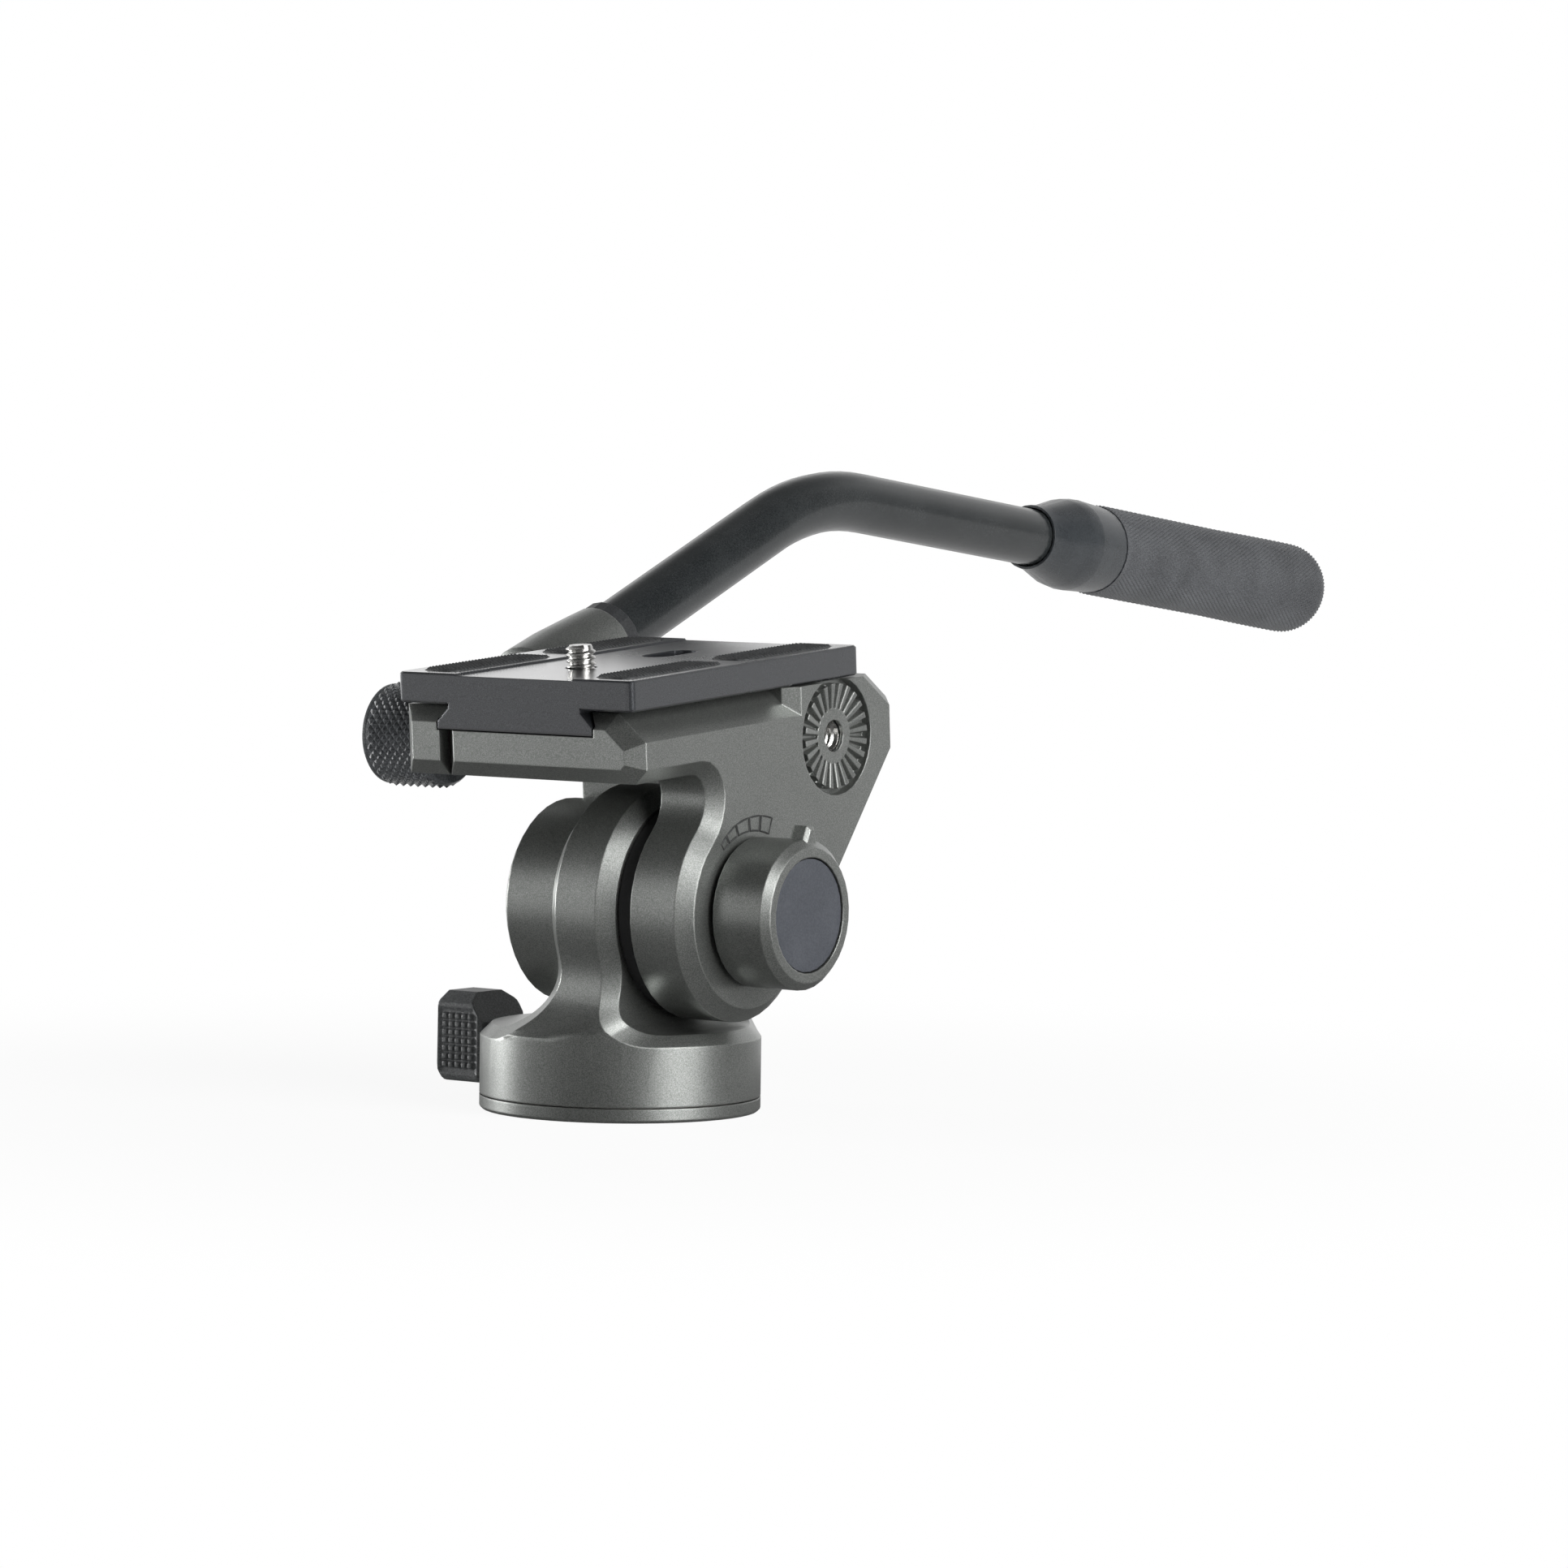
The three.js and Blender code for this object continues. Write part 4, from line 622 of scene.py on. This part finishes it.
# Clamp knob: moulded in black plastic on the steel screw that pulls the jaw in. Its rim is plain,
# its face is dished, and the rest of its outside is cut in diamonds.
def diamonds(shell, columns, rows, depth, outline):
    bmesh.ops.create_grid(shell, x_segments=columns, y_segments=rows, size=0.5)
    for vertex in shell.verts:
        column = round((vertex.co.x + 0.5) * columns)
        row = round((vertex.co.y + 0.5) * rows)
        height, radius = outline(row / rows)
        if (column + row) % 2 and 0 < row < rows:
            radius += depth
        angle = 2 * math.pi * column / columns
        vertex.co = (radius * math.cos(angle), radius * math.sin(angle), height)
    bmesh.ops.remove_doubles(shell, verts=shell.verts, dist=touching)
    bmesh.ops.triangulate(shell, faces=shell.faces, quad_method="SHORT_EDGE")


def next_rim(shell, rim):
    grown = bmesh.ops.extrude_edge_only(shell, edges=rim)["geom"]
    corners = {part for part in grown if isinstance(part, bmesh.types.BMVert)}
    edges = [part for part in grown if isinstance(part, bmesh.types.BMEdge)]
    return corners, [edge for edge in edges if all(corner in corners for corner in edge.verts)]


def grown_end(shell, rim, stations):
    for height, radius in stations:
        corners, rim = next_rim(shell, rim)
        for corner in corners:
            corner.co = (*(corner.co.xy.normalized() * radius), height)
    bmesh.ops.contextual_create(shell, geom=rim)


def open_rims(shell):
    rims = [edge for edge in shell.edges if edge.is_boundary]
    middle = sum(edge.verts[0].co.z for edge in rims) / len(rims)
    below = [edge for edge in rims if edge.verts[0].co.z < middle]
    return below, [edge for edge in rims if edge.verts[0].co.z > middle]


knob_plastic = moulded(
    "knob_plastic",
    dark=(0.03, 0.033, 0.036),
    light=(0.19, 0.2, 0.21),
    roughness=0.3,
    grain_scale=2600.0,
    bump_depth=0.012 * mm,
    edge_radius=0.12 * mm,
)
low, high = level_box("clamp_knob", tilted)
middle = (low + high) / 2
length = high.x - low.x
knob_radius = (high.z - low.z) / 2
rim_width, end_width = 1.3 * mm, 0.7 * mm
knurl_columns, knurl_rows, knurl_depth = 64, 14, 0.62 * mm
knurl_length = length - rim_width - end_width
knurl_setback = 0.1 * mm
valley_radius = knob_radius - knurl_depth - knurl_setback
rim_profile = [
    (rim_width - 0.05 * mm, knob_radius - 0.75 * mm),
    (rim_width - 0.3 * mm, knob_radius - 0.6 * mm),
    (0.45 * mm, knob_radius - 0.6 * mm),
    (0.1 * mm, knob_radius - 0.95 * mm),
    (0, knob_radius - 1.5 * mm),
    (0, 6 * mm),
    (0.8 * mm, 5.6 * mm),
]
end_profile = [
    (length - 0.45 * mm, knob_radius - 0.9 * mm),
    (length, knob_radius - 1.3 * mm),
    (length, 5 * mm),
]


def knob_outline(share):
    return rim_width + share * knurl_length, valley_radius


shell = bmesh.new()
diamonds(shell, knurl_columns, knurl_rows, knurl_depth, knob_outline)
outer, inner = open_rims(shell)
grown_end(shell, outer, rim_profile)
grown_end(shell, inner, end_profile)
shaded(shell, cut_crease)
closed(shell)
to_place = tilted @ Matrix.Translation((low.x, middle.y, middle.z)) @ along_x
bmesh.ops.transform(shell, matrix=to_place, verts=shell.verts)
finished("clamp_knob_knurled", shell, knob_plastic, "clamp", ["clamp_knob"])
finish_node("clamp_screw", bright_steel)


# Camera plate: milled from aluminium with a dovetail foot, bead blasted and anodised black. It
# slides in the clamp and carries the camera.
def anodised(name, dark, light, roughness):
    blast_scale, cloud_scale = 5200.0, 50.0
    skin = bpy.data.materials.new(name)
    tree = nodes_of(skin)
    place = node(tree, "ShaderNodeTexCoord").outputs["Object"]
    grain = fine_noise(tree, place, blast_scale)
    cloud = fine_noise(tree, place, cloud_scale, detail=3.0)
    # The edges get a painted highlight, added to the anodised colour.
    round_edge, edge_highlight = rounded_edges(tree, radius=0.7 * mm, highlight_strength=0.5)
    tone = maths(tree, "ADD", smooth_step(tree, grain, low=0.35, high=0.75), edge_highlight, clamp=True)
    patchy, smoothest = 0.08, roughness - 0.04
    rough = maths(tree, "MULTIPLY_ADD", cloud, patchy, smoothest)
    blast_depth = 0.012 * mm
    dressed(
        tree,
        between(tree, tone, dark, light),
        rough,
        grain,
        blast_depth,
        round_edge,
        **{"Metallic": 0.6, "Coat Weight": 1.0, "Coat Roughness": 0.16},
    )
    return skin


plate_black = anodised(
    "plate_black", dark=(0.028, 0.03, 0.034), light=(0.075, 0.079, 0.086), roughness=0.28
)
shell = casting_of("camera_plate")
plate = finished(
    "camera_plate_anodised", shell, plate_black, "plate", ["camera_plate"]
)
smoothed(plate)

# Pads: four strips of black rubber with round ends, glued into the plate's top for the camera's
# base to sit on. Their tops are moulded in small studs inside a plain rim.
pad_rubber = moulded(
    "pad_rubber",
    dark=(0.02, 0.021, 0.022),
    light=(0.07, 0.073, 0.075),
    roughness=0.6,
    grain_scale=1800.0,
    bump_depth=0.02 * mm,
    edge_radius=0.08 * mm,
)
pad_columns, pad_rows = 16, 62
pad_corner = 3.6 * mm
stud_height = 0.5 * mm
rim_drop = 0.75 * mm
stud_crease = math.radians(10)
for name in ("front_left", "front_right", "rear_left", "rear_right"):
    low, high = level_box("plate_pad_" + name, tilted)
    middle = (low + high) / 2
    half_width, half_length = (high.x - low.x) / 2, (high.y - low.y) / 2
    shell = bmesh.new()
    bmesh.ops.create_grid(shell, x_segments=pad_columns, y_segments=pad_rows, size=1)
    for vertex in shell.verts:
        column = round((vertex.co.x + 1) / 2 * pad_columns)
        row = round((vertex.co.y + 1) / 2 * pad_rows)
        forward = vertex.co.y * half_length
        past = max(0, abs(forward) - half_length + pad_corner)
        reach = half_width - pad_corner + math.sqrt(max(0, pad_corner**2 - past**2))
        raised = stud_height * (reach / half_width) ** 2 if column % 2 and row % 2 else 0
        top = high.z - rim_drop + raised
        vertex.co = (middle.x + vertex.co.x * reach, middle.y + forward, top)
    corners, foot = next_rim(shell, [edge for edge in shell.edges if edge.is_boundary])
    for corner in corners:
        corner.co.z = low.z
    bmesh.ops.contextual_create(shell, geom=foot)
    shaded(shell, stud_crease)
    closed(shell)
    bmesh.ops.transform(shell, matrix=tilted, verts=shell.verts)
    pad = "plate_pad_" + name
    finished(pad + "_ribbed", shell, pad_rubber, "plate", [pad])

# Stop screws: two small blackened screws that stand out of the plate's foot, so that it can't slide
# out of the clamp by itself.
finish_node("plate_stop_screw_front", blackened_steel)
finish_node("plate_stop_screw_rear", blackened_steel)

# Camera screw: turned from bright steel, with a quarter inch thread for the camera and a broad
# slotted head that lies in the plate's underside.
plate_centre, screw_setback = 2.35 * mm, 14.8 * mm
screw_place = tilted @ Matrix.Translation((plate_centre, -screw_setback, 0))
low, high = level_box("camera_screw", screw_place)
shell = casting_of("camera_screw")
bmesh.ops.transform(shell, matrix=screw_place.inverted(), verts=shell.verts)
shank, core, tip = 3.175 * mm, 2.55 * mm, 2.346 * mm
camera_pitch = 1.27 * mm
thread_foot, tip_length, sunk = 4 * mm, 0.45 * mm, 0.1 * mm
tolerance = 0.1 * mm
slot_top = low.z + 2 * mm
for vertex in shell.verts:
    radius = vertex.co.xy.length
    if abs(radius - shank) < tolerance and vertex.co.z > slot_top:
        vertex.co.xy = vertex.co.xy.normalized() * core
    elif vertex.co.z > high.z - tolerance:
        vertex.co.xy = vertex.co.xy.normalized() * tip
thread_length = high.z - low.z - thread_foot - tip_length
thread_ridge(shell, core - sunk, shank, camera_pitch, low.z + thread_foot, thread_length)
shaded(shell)
closed(shell)
bmesh.ops.transform(shell, matrix=screw_place, verts=shell.verts)
finished(
    "camera_screw_threaded", shell, bright_steel, "camera_screw", ["camera_screw"]
)

# Handle socket: a painted casting, toothed to match the rosette, that holds the tube's end. A black
# moulded ring closes its mouth.
cast("handle_socket", "handle")
finish_node("handle_ring", black_plastic)

# Handle tube: drawn from aluminium, bent once and coated satin black. Its front end is held in the
# socket.
satin_black = moulded(
    "satin_black",
    dark=(0.012, 0.014, 0.015),
    light=(0.03, 0.033, 0.034),
    roughness=0.22,
    grain_scale=2400.0,
    bump_depth=0.006 * mm,
)
shell = casting_of("handle_tube")
finished("handle_tube_coated", shell, satin_black, "handle", ["handle_tube"])

# Handle collar: a smooth black moulding on the tube's rear end. It swells from the tube's thickness
# to the grip's.
collar_black = moulded(
    "collar_black",
    dark=(0.02, 0.023, 0.026),
    light=(0.045, 0.05, 0.055),
    roughness=0.27,
    grain_scale=2400.0,
    bump_depth=0.008 * mm,
)
shell = casting_of("handle_collar")
finished(
    "handle_collar_moulded", shell, collar_black, "handle", ["handle_collar"]
)

# Handle grip: a rubber sleeve with a rounded end, pulled over the tube's end behind the collar and
# cut all over in small diamonds.
grip_rubber = moulded(
    "grip_rubber",
    dark=(0.028, 0.03, 0.034),
    light=(0.095, 0.1, 0.108),
    roughness=0.42,
    grain_scale=2600.0,
    bump_depth=0.01 * mm,
    edge_radius=0.05 * mm,
    shine=0.8,
)
handle_pivot = (0, 30.070 * mm, 79.882 * mm)
handle_rise = math.radians(22.41)
rear_start = (-40 * mm, 105.8 * mm, 10.94 * mm)
rear_drop = math.radians(28.92)
handle_place = Matrix.Translation(handle_pivot) @ Matrix.Rotation(handle_rise, 4, "X")
rear_bend = Matrix.Translation(rear_start) @ Matrix.Rotation(-rear_drop, 4, "X")
rear_place = handle_place @ rear_bend
low, high = level_box("handle_grip", rear_place)
length = high.y - low.y
grip_radius, grip_swell = 11.25 * mm, 0.35 * mm
swell_from_share, swell_length_share = 0.55, 0.35
end_round, uncut_share = 7 * mm, 0.35
cut_columns, cut_rows, cut_depth = 144, 92, 0.34 * mm
cut_radius = grip_radius - cut_depth
grip_bore = 10 * mm
straight = length - end_round


def grip_outline(share):
    reach = share * (length - uncut_share * end_round)
    swollen = (reach / length - swell_from_share) / swell_length_share
    swell = grip_swell * math.sin(math.pi / 2 * min(1, max(0, swollen)))
    radius = cut_radius + swell
    if reach > straight:
        part = (reach - straight) / end_round
        radius = cut_radius + grip_swell - end_round + end_round * math.sqrt(1 - part * part)
    return reach, radius


shell = bmesh.new()
diamonds(shell, cut_columns, cut_rows, cut_depth, grip_outline)
inner, outer = open_rims(shell)
grown_end(shell, inner, [(0, grip_bore)])
last, radius = grip_outline(1)
end_profile = [
    (last + 0.2 * mm, radius - 0.1 * mm),
    (length - 0.8 * mm, radius - 2.4 * mm),
    (length - 0.2 * mm, radius - 4.4 * mm),
    (length, 2 * mm),
]
grown_end(shell, outer, end_profile)
rubber_crease = math.radians(40)
shaded(shell, rubber_crease)
closed(shell)
along_y = Matrix.Rotation(math.radians(-90), 4, "X")
to_place = rear_place @ Matrix.Translation((0, low.y, 0)) @ along_y
bmesh.ops.transform(shell, matrix=to_place, verts=shell.verts)
finished("handle_grip_cut", shell, grip_rubber, "handle", ["handle_grip"])

# Handle clamp: a six-lobed knob moulded in black plastic, on the steel bolt that pulls the socket's
# teeth into the rosette.
shell = casting_of("handle_clamp_knob")
finished(
    "handle_clamp_knob_moulded",
    shell,
    black_plastic,
    "handle_clamp",
    ["handle_clamp_knob"],
)
finish_node("handle_clamp_bolt", bright_steel)
